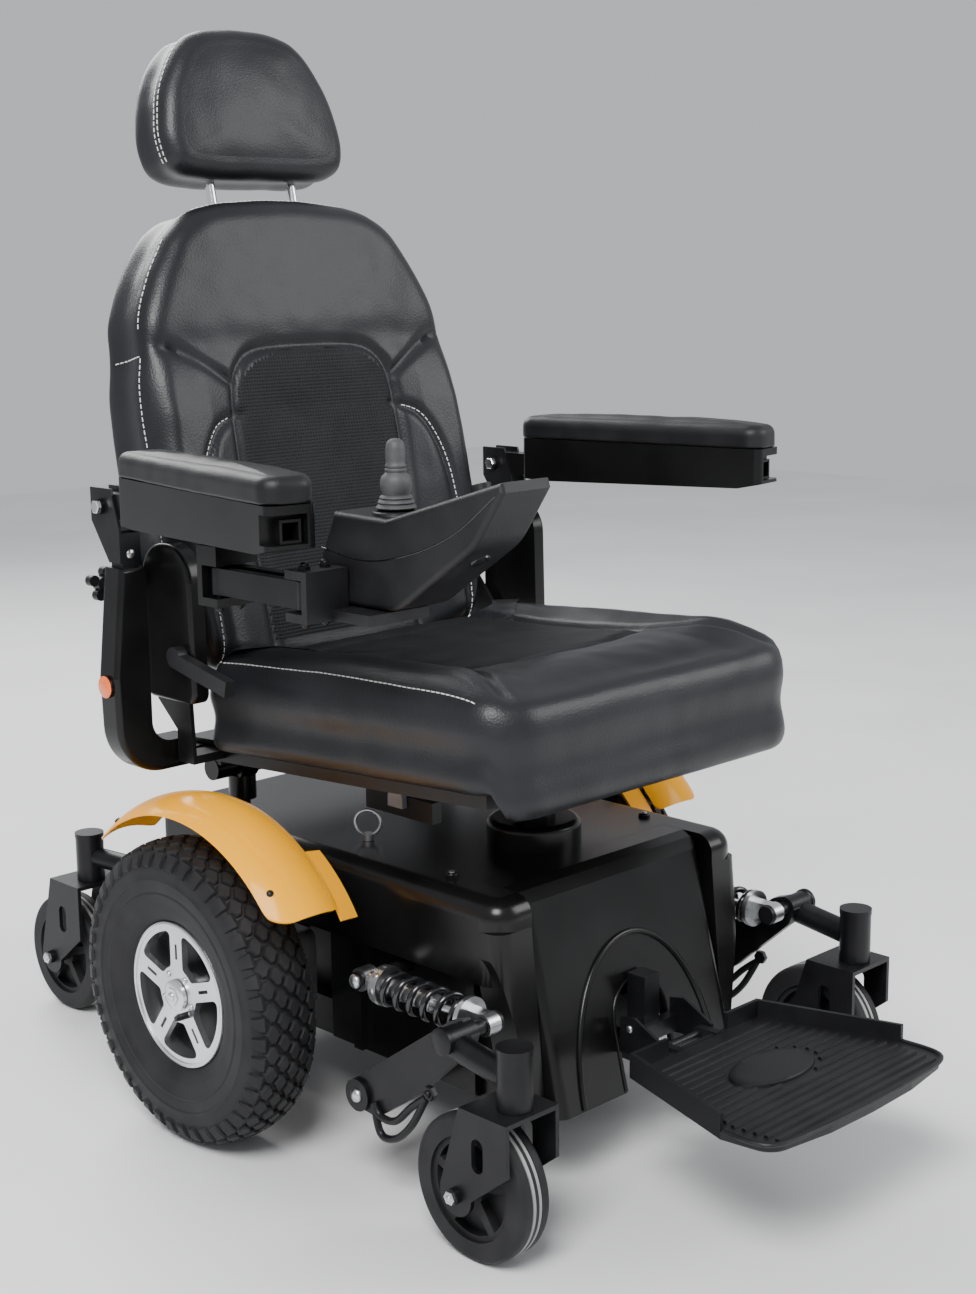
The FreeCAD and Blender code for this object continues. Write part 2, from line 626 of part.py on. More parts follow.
def seat_post():
    x, y, boot_r = POST_BOOT
    column = cyl_z(DECK_Z[1], 470, x, y, 26.0)
    above = tilt_seat(box(-120, 120, -400, 120, 424, 520))
    column = column.cut(above)
    boot_top = 362.0
    boot = cyl_z(COVER_Z[1], boot_top, x, y, boot_r).cut(cyl_z(300, 400, x, y, 26.0))
    boot = round_edges(boot, 8.0, lambda e: e.BoundBox.ZMin > boot_top - 1 and e.BoundBox.XMax > 40)
    return [column, boot]


def seat_support():
    tube = cyl_x(-196, 196, SUPPORT_Y, SUPPORT_TUBE_Z, 14.0)
    clamps = [cyl_x(x - 13, x + 13, SUPPORT_Y, SUPPORT_TUBE_Z, 19.0) for x in (-SUPPORT_X, SUPPORT_X)]
    collars = [cyl_z(348, SUPPORT_TOP, x, SUPPORT_Y, 17.0) for x in (-SUPPORT_X, SUPPORT_X)]
    rail = tube.multiFuse(clamps + collars)
    for x in (-SUPPORT_X, SUPPORT_X):
        rail = rail.cut(cyl_z(300, SUPPORT_TOP, x, SUPPORT_Y, 9.5))
    return rail


def seat_cushion():
    pad = box(-SEAT_HALF, SEAT_HALF, -435, 50, 402, 552)
    pad = pad.cut(box(-260, 260, -401, 60, 400, 430)).cut(box(-228, 228, -401, 60, 400, 440))
    pad = round_edges(pad, 60.0, lambda e: spans(e, "z") and e.BoundBox.YMax < -430)
    pad = round_edges(pad, 26.0, lambda e: e.BoundBox.ZMin > 551)
    return tilt_seat(pad)


def recline_covers():
    cover = prism_x([(20, 500), (116, 500), (116, 682), (24, 682)], 268, 288)
    cover = round_edges(cover, 43.0, lambda e: spans(e, "x") and e.BoundBox.ZMin > 600)
    cover = round_edges(cover, 14.0, lambda e: spans(e, "x") and e.BoundBox.ZMax < 510)
    cover = round_edges(cover, 5.0, lambda e: e.BoundBox.XMin > 287)
    boss = cyl_x(287, 296, LEVER_PIVOT[0], LEVER_PIVOT[1], 5.0)
    return cover.fuse(boss)


LEVER_PIVOT = (40.0, 556.0)


def recline_lever():
    y, z = LEVER_PIVOT
    hub = cyl_x(289, 302, y, z, 12.0)
    paddle = box(289, 302, y - 98, y - 4, z - 12, z + 6)
    paddle = turn_x(paddle, y, z, -12)
    lever = hub.fuse(paddle)
    return lever.cut(cyl_x(280, 297, y, z, 5.0 + RUNNING))


BACK_Y = (66.0, 166.0)
BACK_TOP = 1080.0


def backrest_cushion():
    half = [(0, 510), (214, 510), (240, 560), (250, 640), (250, 740), (244, 880), (226, 905),
            (240, 950), (214, 1012), (176, 1056), (120, 1074), (0, BACK_TOP)]
    outline = half + [(-x, z) for x, z in reversed(half[1:-1])]
    pad = prism_y(outline, *BACK_Y)
    for x in (-HEADREST_POST_X, HEADREST_POST_X):
        pad = pad.cut(cyl_z(930, 1100, x, 135, 6.0 + GAP))
    return lean_back(pad)


def backrest_frame():
    panel = box(-200, 200, BACK_Y[1] + 0.4, BACK_Y[1] + 6, 540, 900)
    cross = box(-259, 259, BACK_Y[1] + 0.4, BACK_Y[1] + 6, 600, 680)
    parts = [cross]
    for side in (-1, 1):
        arm = prism_x([(82, 505), (112, 500), (122, 512), (176, 600), (172, 680), (160, 680),
                       (84, 540)], 254, 259)
        arm = arm.cut(cyl_x(240, 270, BACK_HINGE[0], BACK_HINGE[1], 6.0 + RUNNING))
        parts.append(arm if side > 0 else mirror(arm))
    return lean_back(panel.multiFuse(parts))


def headrest_posts():
    return [lean_back(cyl_z(940, 1160, x, 135, 6.0)) for x in (-HEADREST_POST_X, HEADREST_POST_X)]


def headrest_pad():
    half = [(0, 1108), (112, 1108), (136, 1128), (142, 1160), (134, 1220), (112, 1268), (70, 1294),
            (0, 1300)]
    outline = half + [(-x, z) for x, z in reversed(half[1:-1])]
    pad = prism_y(outline, 90, 180)
    for x in (-HEADREST_POST_X, HEADREST_POST_X):
        pad = pad.cut(cyl_z(1100, 1160.05, x, 135, 6.0 + RUNNING))
    return lean_back(pad)


# ---- armrests -----------------------------------------------------------------------------------
def armrest_sleeve():
    outline = [(332, 655), (346, 530), (343, 413), (243, 413), (243, 448), (299, 448), (299, 655)]
    sleeve = prism_y(outline, POST_Y - 18, POST_Y + 18)
    sleeve = round_edges(sleeve, 60.0, lambda e: spans(e, "y") and e.BoundBox.XMin > 342 and e.BoundBox.ZMax < 420)
    sleeve = round_edges(sleeve, 26.0, lambda e: spans(e, "y") and e.BoundBox.XMin > 298
                         and e.BoundBox.XMax < 300 and e.BoundBox.ZMax < 450)
    sleeve = round_edges(sleeve, 6.0, lambda e: e.BoundBox.YLength < 0.1 and e.BoundBox.XMax > 299.5
                         and e.Length > 20 and e.BoundBox.ZMax > 414 and e.BoundBox.XMin > 241
                         and not (e.BoundBox.XMax < 300 and e.BoundBox.XMin > 298))
    low, high = POST_X - POST_HALF - GAP, POST_X + POST_HALF + GAP
    bore = box(low, high, POST_Y - POST_HALF - GAP, POST_Y + POST_HALF + GAP, 478, 700)
    screw = cyl_y(POST_Y, POST_Y + 30, POST_X, KNOB_Z, 4.0 + RUNNING)
    return sleeve.cut(bore).cut(screw)


def reflector():
    return cyl_x(346.05, 349.5, POST_Y, 520, 13.0)


KNOB_Z = 630.0


def clamp_knob():
    shaft = cyl_y(POST_Y + POST_HALF + 0.5, POST_Y + 46, POST_X, KNOB_Z, 4.0)
    lobes = [cyl_y(POST_Y + 42, POST_Y + 56, POST_X, KNOB_Z, 9.0)]
    for i in range(4):
        a = math.radians(90 * i + 20)
        x, z = POST_X + 14 * math.cos(a), KNOB_Z + 14 * math.sin(a)
        lobes.append(cyl_y(POST_Y + 44, POST_Y + 54, x, z, 6.5))
    return shaft.multiFuse(lobes)


def armrest_post():
    y, z = ARM_PIVOT_UP
    tube = box(POST_X - POST_HALF, POST_X + POST_HALF, POST_Y - POST_HALF, POST_Y + POST_HALF, 484, 694)
    parts = []
    for x in (POST_X - POST_HALF - 3, POST_X + POST_HALF):
        parts.append(prism_x([(96, 660), (118, 660), (150, 706), (150, 744), (110, 744), (96, 700)],
                             x, x + 3))
    bolt = cyl_x(POST_X - 18, POST_X + 18, y, z, 5.0)
    heads = [cyl_x(POST_X - 19, POST_X - 14, y, z, 9.0), cyl_x(POST_X + 14, POST_X + 19, y, z, 9.0)]
    return tube.multiFuse(parts + [bolt] + heads)


def toe_out(shape):
    turned = shape.copy()
    turned.rotate(V(ARM_REAR[0], ARM_REAR[1], 0), V(0, 0, 1), ARM_TOE_OUT)
    return turned


def armrest_body():
    x, rear = ARM_REAR
    front = rear - ARM_LENGTH
    shell = prism_x([(rear, 708), (rear, 761), (front, 761), (front, 718), (front + 30, 712),
                     (rear - 40, 706)], x - ARM_HALF, x + ARM_HALF)
    shell = round_edges(shell, 10.0, lambda e: spans(e, "z"))
    recess = box(x - 16, x + 30, front - 5, front + 18, 722, 752)
    socket = box(x - 12, x + 12, front - 10, rear + 10, 722.5, 746.5)
    shell = toe_out(shell.cut(recess).cut(socket))
    bar = toe_out(box(x - 12, x + 12, front + 6, rear, 722.5, 746.5)
                  .cut(box(x - 9, x + 9, front, front + 60, 725.5, 743.5)))
    y, z = ARM_PIVOT_UP
    tongue = box(POST_X - POST_HALF + 0.4, POST_X + POST_HALF - 0.4, rear - 2, 146, 710, 738)
    tongue = tongue.fuse(bar).cut(cyl_x(250, 380, y, z, 5.0 + RUNNING))
    return [shell.cut(tongue), tongue]


def armrest_pad():
    x, rear = ARM_REAR
    pad = box(x - ARM_HALF - 2, x + ARM_HALF + 2, rear - ARM_LENGTH - 3, rear + 2, 761.4, 796)
    pad = round_edges(pad, 20.0, lambda e: spans(e, "z"))
    pad = round_edges(pad, 14.0, lambda e: e.BoundBox.ZMin > 795)
    return toe_out(pad)


# ---- joystick, on the user's right --------------------------------------------------------------
LINK_Z = (653.0, 681.0)


def swing_bracket():
    block = box(-364, -310, -131, -98, 641, 704.5)
    mouth = box(-380, -300, -140, -106, 650, 684)
    pins = [cyl_z(645, 690, x, LINK_Y[0], 4.0) for x in LINK_X]
    return block.cut(mouth).multiFuse(pins)


def joystick_link(x):
    bar = box(x - 6, x + 6, LINK_Y[1], LINK_Y[0], *LINK_Z)
    ends = [cyl_z(LINK_Z[0], LINK_Z[1], x, y, 8.0) for y in LINK_Y]
    link = bar.multiFuse(ends)
    for y in LINK_Y:
        link = link.cut(cyl_z(640, 700, x, y, 4.0 + RUNNING))
    return link


def pod_carrier():
    block = box(-364, -310, -276, -243, 641, 693)
    mouth = box(-380, -300, -268, -230, 650, 684)
    pins = [cyl_z(645, 690, x, LINK_Y[1], 4.0) for x in LINK_X]
    tray = box(-330, -250, -330, -275, 641, 652)
    hook = box(-312, -285, -276, -262, 641, 652)
    return block.cut(mouth).multiFuse(pins + [tray, hook])


POD_X = (-306.0, -238.0)


def on_panel(shape, y):
    """Places a shape made on the plane z = 0 on the pod's sloping panel."""
    slope = math.radians(PANEL_TILT)
    placed = shape.copy()
    placed.rotate(V(0, 0, 0), V(1, 0, 0), -PANEL_TILT)
    rise = (PANEL_EDGE[0] - y) * math.tan(slope)
    placed.translate(V(STICK[0], y, PANEL_EDGE[1] + rise))
    return placed


def joystick_pod():
    outline = [(-250, 746), (-229, 700), (-231, 653), (-342, 653), (-452, 727), (-490, 782),
               (-487, 791.5), PANEL_EDGE]
    pod = prism_x(outline, *POD_X)
    pod = round_edges(pod, 24.0, lambda e: spans(e, "x") and e.BoundBox.ZMax < 660 and e.BoundBox.YMin > -240)
    pod = round_edges(pod, 60.0, lambda e: spans(e, "x") and e.BoundBox.ZMax < 660 and e.BoundBox.YMax < -340)
    pod = round_edges(pod, 70.0, lambda e: spans(e, "x") and 720 < e.BoundBox.ZMin < 730)
    pod = round_edges(pod, 6.0, lambda e: not spans(e, "x"))
    x, y, z = STICK
    well = box(x - 17, x + 17, y - 17, y + 17, z - 12, z + 18)
    mouth = cyl_z(z, z + 40, x, y, 13.0)
    pod = pod.cut(well).cut(mouth).cut(cyl_x(x - 21, x + 21, y, z, 2.0 + RUNNING))
    pod = pod.cut(on_panel(cyl_z(-6, 10, 0, 0, BUTTON_R + GAP), BUTTON_Y))
    pod = pod.cut(on_panel(cyl_z(-6, 10, 0, 0, 4.0 + RUNNING), KNOB_Y))
    return [pod, pod_carrier()]


BUTTON_R = 6.0
BUTTON_Y = -380.0
KNOB_Y = -430.0


def power_button():
    return on_panel(cyl_z(-2.5, 2.5, 0, 0, BUTTON_R), BUTTON_Y)


def speed_knob():
    shaft = cyl_z(-4, 2, 0, 0, 4.0)
    cap = cyl_z(0.4, 9, 0, 0, 10.0)
    mark = box(-1, 1, 3, 9, 8.5, 9.6)
    return on_panel(shaft.multiFuse([cap, mark]), KNOB_Y)


def joystick_gimbal():
    x, y, z = STICK
    ring = box(x - 12, x + 12, y - 12, y + 12, z - 3, z + 3)
    ring = ring.cut(box(x - 7, x + 7, y - 7, y + 7, z - 4, z + 4))
    ring = ring.cut(cyl_y(y - 13, y + 13, x, z, 2.0 + RUNNING))
    pins = [cyl_x(x - 20, x - 11, y, z, 2.0), cyl_x(x + 11, x + 20, y, z, 2.0)]
    return ring.multiFuse(pins)


def joystick_stick():
    x, y, z = STICK
    rod = cyl_z(z - 5, z + 92, x, y, 3.5).fuse(cyl_y(y - 11.5, y + 11.5, x, z, 2.0))
    boot = Part.makeCone(17, 12, 14, V(x, y, z + 32), V(0, 0, 1))
    bulb = Part.makeSphere(15.5, V(x, y, z + 56))
    grip = cyl_z(z + 64, z + 98, x, y, 9.5)
    grip = round_edges(grip, 6.0, lambda e: e.BoundBox.ZMin > z + 90)
    return rod.multiFuse([boot, bulb, grip])


# ---- write every node ---------------------------------------------------------------------------
write("base_frame", base_frame())
write("batteries", battery(-67.5), battery(67.5))
write("control_module", control_module())
motor = gearmotor()
write("gearmotors", motor, mirror(motor))
write_pair("freewheel_lever", freewheel_lever())
write("top_cover", top_cover())
write("front_shroud", front_shroud())
write("rear_deck", rear_deck())
guard = [fender(), fender_flap()]
write("fenders", *guard, *[mirror(s) for s in guard])
write("release_pin", release_pin())
write("cover_plugs", *cover_plugs())
write("footplate_mount", footplate_mount())
write("footplate", footplate())
write_pair("front_arm", front_arm())
write_pair("shock_body", shock_body())
write_pair("shock_rod", shock_rod())
write_pair("shock_spring", shock_spring())
for end, x, y, z in (("front", FRONT_CASTER_X, FRONT_BARREL_Y, FRONT_BARREL_Z[0]),
                     ("rear", REAR_CASTER_X, REAR_BARREL_Y, REAR_BARREL_Z[0])):
    write_pair("caster_fork_" + end, *caster_fork(x, y, z))
    write_pair("caster_wheel_" + end, *caster_wheel(x, y))
write("seat_frame", seat_frame())
write("seat_post", *seat_post(), seat_support())
write("seat_cushion", seat_cushion())
cover = recline_covers()
write("recline_covers", cover, mirror(cover))
write("recline_lever", mirror(recline_lever()))
write("backrest_cushion", backrest_cushion())
write("backrest_frame", backrest_frame())
write("headrest_posts", *headrest_posts())
write("headrest_pad", headrest_pad())
sleeve = [armrest_sleeve(), reflector()]
write("armrest_sleeves", *sleeve, *[mirror(s) for s in sleeve])
write_pair("armrest_post", armrest_post())
write_pair("clamp_knob", clamp_knob())
body = armrest_body()
write("armrest_body_left", *body)
write("armrest_body_right", *[mirror(s) for s in body], swing_bracket())
write_pair("armrest_pad", armrest_pad())
write("joystick_link_outer", joystick_link(LINK_X[0]))
write("joystick_link_inner", joystick_link(LINK_X[1]))
write("joystick_pod", *joystick_pod())
write("joystick_gimbal", joystick_gimbal())
write("joystick_stick", joystick_stick())
write("power_button", power_button())
write("speed_knob", speed_knob())
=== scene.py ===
"""Power wheelchair: the visual model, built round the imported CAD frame."""
import json
import math

import bmesh
import bpy
from mathutils import Matrix, Vector, noise
from mathutils.bvhtree import BVHTree


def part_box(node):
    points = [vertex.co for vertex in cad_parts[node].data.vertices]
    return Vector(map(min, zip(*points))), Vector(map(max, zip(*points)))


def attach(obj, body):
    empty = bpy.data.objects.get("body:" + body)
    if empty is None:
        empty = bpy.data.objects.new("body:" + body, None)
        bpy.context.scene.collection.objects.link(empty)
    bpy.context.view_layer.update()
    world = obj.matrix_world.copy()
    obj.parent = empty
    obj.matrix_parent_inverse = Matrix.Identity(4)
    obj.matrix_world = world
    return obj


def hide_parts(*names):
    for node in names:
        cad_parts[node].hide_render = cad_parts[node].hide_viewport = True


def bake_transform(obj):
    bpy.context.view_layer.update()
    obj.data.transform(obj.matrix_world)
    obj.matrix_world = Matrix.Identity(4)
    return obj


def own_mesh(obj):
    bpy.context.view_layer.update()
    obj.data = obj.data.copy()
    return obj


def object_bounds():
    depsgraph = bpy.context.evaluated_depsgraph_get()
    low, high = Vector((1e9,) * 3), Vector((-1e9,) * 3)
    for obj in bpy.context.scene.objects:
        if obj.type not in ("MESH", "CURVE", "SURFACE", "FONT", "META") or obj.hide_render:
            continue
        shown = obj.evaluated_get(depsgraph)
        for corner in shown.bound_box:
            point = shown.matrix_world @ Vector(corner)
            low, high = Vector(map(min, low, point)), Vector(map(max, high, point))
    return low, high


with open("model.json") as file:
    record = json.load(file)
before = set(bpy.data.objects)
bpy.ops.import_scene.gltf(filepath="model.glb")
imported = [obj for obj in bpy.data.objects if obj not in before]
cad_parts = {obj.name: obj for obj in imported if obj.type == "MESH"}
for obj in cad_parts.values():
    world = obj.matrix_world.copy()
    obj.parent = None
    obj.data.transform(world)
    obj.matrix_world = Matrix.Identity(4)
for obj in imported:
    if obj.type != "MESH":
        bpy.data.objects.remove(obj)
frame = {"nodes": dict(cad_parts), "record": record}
cad_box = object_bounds()


def centre(node):
    """The middle of a CAD node's box."""
    low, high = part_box(node)
    return (Vector(low) + Vector(high)) / 2


AXLE = centre("drive_rim_left")
TYRE_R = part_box("drive_tyre_left")[1][2] / 2
SIDES = (("left", 1), ("right", -1))


def at(x, y, z):
    """A place given from the middle of the drive axle, with z from the floor."""
    return Vector((x, y + AXLE.y, z))


# ---- materials ----------------------------------------------------------------------------------
def material(name, dark, light, rough, metallic=0.0, scale=30.0, bump=0.0, grain=None, coat=0.0,
             shine=0.5):
    """A finish whose tone and gloss drift a little. Its grain is 'leather', 'weave' or 'speckle'."""
    made = bpy.data.materials.new(name)
    made.use_nodes = True
    nodes, links = made.node_tree.nodes, made.node_tree.links
    shader = nodes["Principled BSDF"]
    shader.inputs["Metallic"].default_value = metallic
    shader.inputs["Coat Weight"].default_value = coat
    shader.inputs["Specular IOR Level"].default_value = shine
    shader.inputs["Coat Roughness"].default_value = 0.08
    coords = nodes.new("ShaderNodeTexCoord").outputs["Object"]
    drift = nodes.new("ShaderNodeTexNoise")
    drift.inputs["Scale"].default_value = scale
    drift.inputs["Detail"].default_value = 5.0
    links.new(coords, drift.inputs["Vector"])
    ramp = nodes.new("ShaderNodeValToRGB")
    ramp.color_ramp.elements[0].position = 0.35
    ramp.color_ramp.elements[1].position = 0.68
    ramp.color_ramp.elements[0].color = (*dark, 1)
    ramp.color_ramp.elements[1].color = (*light, 1)
    links.new(drift.outputs["Fac"], ramp.inputs["Fac"])
    links.new(ramp.outputs["Color"], shader.inputs["Base Color"])
    spread = nodes.new("ShaderNodeMapRange")
    spread.inputs["To Min"].default_value = rough - 0.04
    spread.inputs["To Max"].default_value = rough + 0.06
    links.new(drift.outputs["Fac"], spread.inputs["Value"])
    links.new(spread.outputs["Result"], shader.inputs["Roughness"])
    if bump:
        height = grain_height(nodes, links, coords, grain)
        node = nodes.new("ShaderNodeBump")
        node.inputs["Strength"].default_value = bump
        node.inputs["Distance"].default_value = 0.001
        links.new(height, node.inputs["Height"])
        links.new(node.outputs["Normal"], shader.inputs["Normal"])
    return made


def grain_height(nodes, links, coords, grain):
    """A height for the bump: woven ribs, leather cells or a fine speckle."""
    if grain == "weave":
        waves = []
        for axis in ("X", "Z"):
            wave = nodes.new("ShaderNodeTexWave")
            wave.bands_direction = axis
            wave.inputs["Scale"].default_value = 75.0
            links.new(coords, wave.inputs["Vector"])
            waves.append(wave.outputs["Fac"])
        mix = nodes.new("ShaderNodeMath")
        mix.operation = "MULTIPLY"
        links.new(waves[0], mix.inputs[0])
        links.new(waves[1], mix.inputs[1])
        return mix.outputs["Value"]
    if grain == "leather":
        cells = nodes.new("ShaderNodeTexVoronoi")
        cells.inputs["Scale"].default_value = 420.0
        links.new(coords, cells.inputs["Vector"])
        return cells.outputs["Distance"]
    speckle = nodes.new("ShaderNodeTexNoise")
    speckle.inputs["Scale"].default_value = 900.0
    links.new(coords, speckle.inputs["Vector"])
    return speckle.outputs["Fac"]


LEATHER = material("leather", (0.009, 0.010, 0.012), (0.015, 0.016, 0.019), 0.38, 0.0, 9.0, 0.18, "leather",
                   shine=0.34)
WOVEN = material("woven", (0.007, 0.008, 0.009), (0.012, 0.013, 0.015), 0.60, 0.0, 22.0, 0.8, "weave",
                 shine=0.25)
THREAD = material("thread", (0.66, 0.66, 0.64), (0.80, 0.80, 0.78), 0.60, 0.0, 60.0)
PLASTIC = material("satin_plastic", (0.003, 0.003, 0.003), (0.006, 0.006, 0.006), 0.24, 0.0, 14.0, 0.06,
                   "speckle", shine=0.30)
GRAINED = material("grained_plastic", (0.006, 0.006, 0.007), (0.012, 0.012, 0.013), 0.42, 0.0, 20.0, 0.30,
                   "speckle", shine=0.32)
YELLOW = material("yellow_gloss", (1.0, 0.40, 0.0), (1.0, 0.45, 0.0), 0.22, 0.0, 5.0, coat=0.10, shine=0.12)
PAINT = material("black_powder_coat", (0.004, 0.004, 0.005), (0.009, 0.009, 0.010), 0.34, 0.0, 25.0, 0.15,
                 "speckle", shine=0.28)
GLOSS = material("black_gloss_paint", (0.005, 0.005, 0.006), (0.010, 0.010, 0.011), 0.16, 0.1, 12.0,
                 coat=0.5)
RUBBER = material("tyre_rubber", (0.009, 0.009, 0.010), (0.019, 0.019, 0.020), 0.58, 0.0, 26.0, 0.35,
                  "speckle", shine=0.28)
GREY_RUBBER = material("grey_rubber", (0.24, 0.24, 0.24), (0.33, 0.33, 0.32), 0.62, 0.0, 30.0)
BOOT = material("boot_rubber", (0.040, 0.041, 0.044), (0.060, 0.061, 0.064), 0.55, 0.0, 30.0, 0.2,
                "speckle")
SILVER = material("machined_alloy", (0.66, 0.67, 0.69), (0.82, 0.83, 0.85), 0.24, 0.95, 18.0)
ZINC = material("zinc_plate", (0.50, 0.51, 0.52), (0.68, 0.69, 0.70), 0.30, 1.0, 40.0)
CHROME = material("chrome", (0.80, 0.80, 0.82), (0.90, 0.90, 0.92), 0.08, 1.0, 10.0)
ALLOY = material("cast_alloy", (0.20, 0.20, 0.21), (0.30, 0.30, 0.31), 0.45, 0.8, 30.0, 0.2, "speckle")
CASE = material("battery_case", (0.05, 0.05, 0.055), (0.08, 0.08, 0.085), 0.50, 0.0, 20.0)
AMBER = material("amber_reflector", (0.85, 0.13, 0.01), (0.95, 0.20, 0.02), 0.18, 0.0, 300.0, 0.4,
                 "leather", 0.6)

SLOT_FINISH = {"frame_black": PAINT, "cover_black": PLASTIC, "fender_yellow": YELLOW, "seat_black": LEATHER,
               "tyre_black": RUBBER, "wheel_silver": SILVER, "zinc": ZINC, "chrome": CHROME,
               "motor_grey": ALLOY, "battery_grey": CASE, "knob_black": GRAINED, "grip_black": BOOT}
NODE_FINISH = {"footplate": GRAINED, "joystick_pod": GRAINED, "seat_post": PLASTIC}
for part in frame["record"]["subparts"]:
    node = part["node"]
    finish = NODE_FINISH.get(node, SLOT_FINISH[part["material_slot"]])
    mesh = frame["nodes"][node].data
    mesh.materials.clear()
    mesh.materials.append(finish)


# ---- mesh helpers -------------------------------------------------------------------------------
class Shape:
    """Collects closed shapes which become one piece."""

    def __init__(self):
        self.points = []
        self.faces = []

    def add(self, points, faces):
        """Takes in more points, with faces that count from the first of them."""
        first = len(self.points)
        self.points += [Vector(p) for p in points]
        self.faces += [tuple(i + first for i in face) for face in faces]

    def rings(self, rings, closed=False):
        """Skin over rings of equal length. Open ends are capped."""
        count = len(rings[0])
        points = [p for ring in rings for p in ring]
        faces = []
        last = len(rings) if closed else len(rings) - 1
        for k in range(last):
            near, far = k * count, (k + 1) % len(rings) * count
            for i in range(count):
                j = (i + 1) % count
                faces.append((near + i, near + j, far + j, far + i))
        if not closed:
            faces.append(tuple(range(count - 1, -1, -1)))
            faces.append(tuple(range(len(points) - count, len(points))))
        self.add(points, faces)

    def turned(self, profile, origin, axis, steps=40, closed=False):
        """A profile of (height, radius) turned about an axis. A closed profile makes a ring."""
        place = Vector(axis).to_track_quat("Z", "Y").to_matrix()
        rings = []
        for height, radius in profile:
            ring = []
            for i in range(steps):
                a = math.tau * i / steps
                local = Vector((radius * math.cos(a), radius * math.sin(a), height))
                ring.append(Vector(origin) + place @ local)
            rings.append(ring)
        self.rings(rings, closed)

    def tube(self, path, radius, steps=12, closed=False):
        """A round wire of one radius along a path."""
        rings = []
        count = len(path)
        side = None
        for i, point in enumerate(path):
            before = path[(i - 1) % count] if closed or i else point
            after = path[(i + 1) % count] if closed or i < count - 1 else point
            along = (Vector(after) - Vector(before)).normalized()
            if side is None:
                side = along.orthogonal().normalized()
            side = (side - along * side.dot(along)).normalized()
            up = along.cross(side)
            ring = []
            for k in range(steps):
                a = math.tau * k / steps
                ring.append(Vector(point) + radius * (math.cos(a) * side + math.sin(a) * up))
            rings.append(ring)
        self.rings(rings, closed)

    def prism(self, outline, low, high, place):
        """An outline of (u, v) from depth low to high, put in place by a function of (u, v, w)."""
        self.rings([[place(u, v, w) for u, v in outline] for w in (low, high)])

    def piece(self, name, finish, body, slot, sharp=35.0):
        """Makes the mesh object, which rides on a body unless the body is None."""
        mesh = bpy.data.meshes.new(name)
        mesh.from_pydata([tuple(p) for p in self.points], [], self.faces)
        mesh.validate()
        mesh.shade_smooth()
        mesh.set_sharp_from_angle(angle=math.radians(sharp))
        mesh.materials.append(finish)
        made = bpy.data.objects.new(name, mesh)
        bpy.context.scene.collection.objects.link(made)
        outward(made)
        if body:
            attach(made, body)
        return made


def outward(piece):
    """Turns all faces to look outward."""
    work = bmesh.new()
    work.from_mesh(piece.data)
    bmesh.ops.recalc_face_normals(work, faces=work.faces)
    work.to_mesh(piece.data)
    work.free()


def arc(centre_uv, radius, start, end, count):
    """Points of a circular arc in two coordinates, angles in degrees."""
    points = []
    for i in range(count + 1):
        a = math.radians(start + (end - start) * i / count)
        points.append((centre_uv[0] + radius * math.cos(a), centre_uv[1] + radius * math.sin(a)))
    return points


def curve_through(knots, steps=10):
    """An open smooth curve through a few points of any dimension."""
    pad = [knots[0]] + list(knots) + [knots[-1]]
    points = []
    for k in range(1, len(pad) - 2):
        for i in range(steps):
            t = i / steps
            a, b, c, d = pad[k - 1], pad[k], pad[k + 1], pad[k + 2]
            points.append(tuple(
                0.5 * (2 * q + (r - p) * t + (2 * p - 5 * q + 4 * r - s) * t * t
                       + (3 * q - p - 3 * r + s) * t ** 3)
                for p, q, r, s in zip(a, b, c, d)))
    points.append(tuple(knots[-1]))
    return points


def evenly(points, count, closed=True):
    """The same line with equal steps."""
    loop = list(points) + ([points[0]] if closed else [])
    lengths = [0.0]
    for p, q in zip(loop, loop[1:]):
        lengths.append(lengths[-1] + math.dist(p, q))
    out = []
    k = 0
    for i in range(count):
        target = lengths[-1] * i / (count if closed else count - 1)
        while k < len(loop) - 2 and lengths[k + 1] < target:
            k += 1
        span = lengths[k + 1] - lengths[k] or 1.0
        t = min(1.0, (target - lengths[k]) / span)
        out.append(tuple(a + (b - a) * t for a, b in zip(loop[k], loop[k + 1])))
    return out


def rounded(points, rounds=3):
    """Cuts the corners of a closed outline again and again."""
    for _ in range(rounds):
        cut = []
        for p, q in zip(points, points[1:] + points[:1]):
            cut.append(tuple(0.78 * a + 0.22 * b for a, b in zip(p, q)))
            cut.append(tuple(0.22 * a + 0.78 * b for a, b in zip(p, q)))
        points = cut
    return points


def both_halves(half):
    """A half outline from one point on the centre line to another, with its mirror image."""
    return half + [(-u, v) for u, v in reversed(half[1:-1])]


def groove(lines, depth, width):
    """A function of (u, v): how deep a seam along any of the lines pulls the cover in."""
    segments = []
    for line in lines:
        segments += list(zip(line, line[1:]))

    def pull(u, v):
        best = 1.0
        for (au, av), (bu, bv) in segments:
            du, dv = bu - au, bv - av
            t = max(0.0, min(1.0, ((u - au) * du + (v - av) * dv) / (du * du + dv * dv + 1e-12)))
            best = min(best, math.hypot(u - au - t * du, v - av - t * dv))
        return depth * math.exp(-(best / width) ** 2)
    return pull


# ---- cushions -----------------------------------------------------------------------------------
PILLOW_STEPS = 260


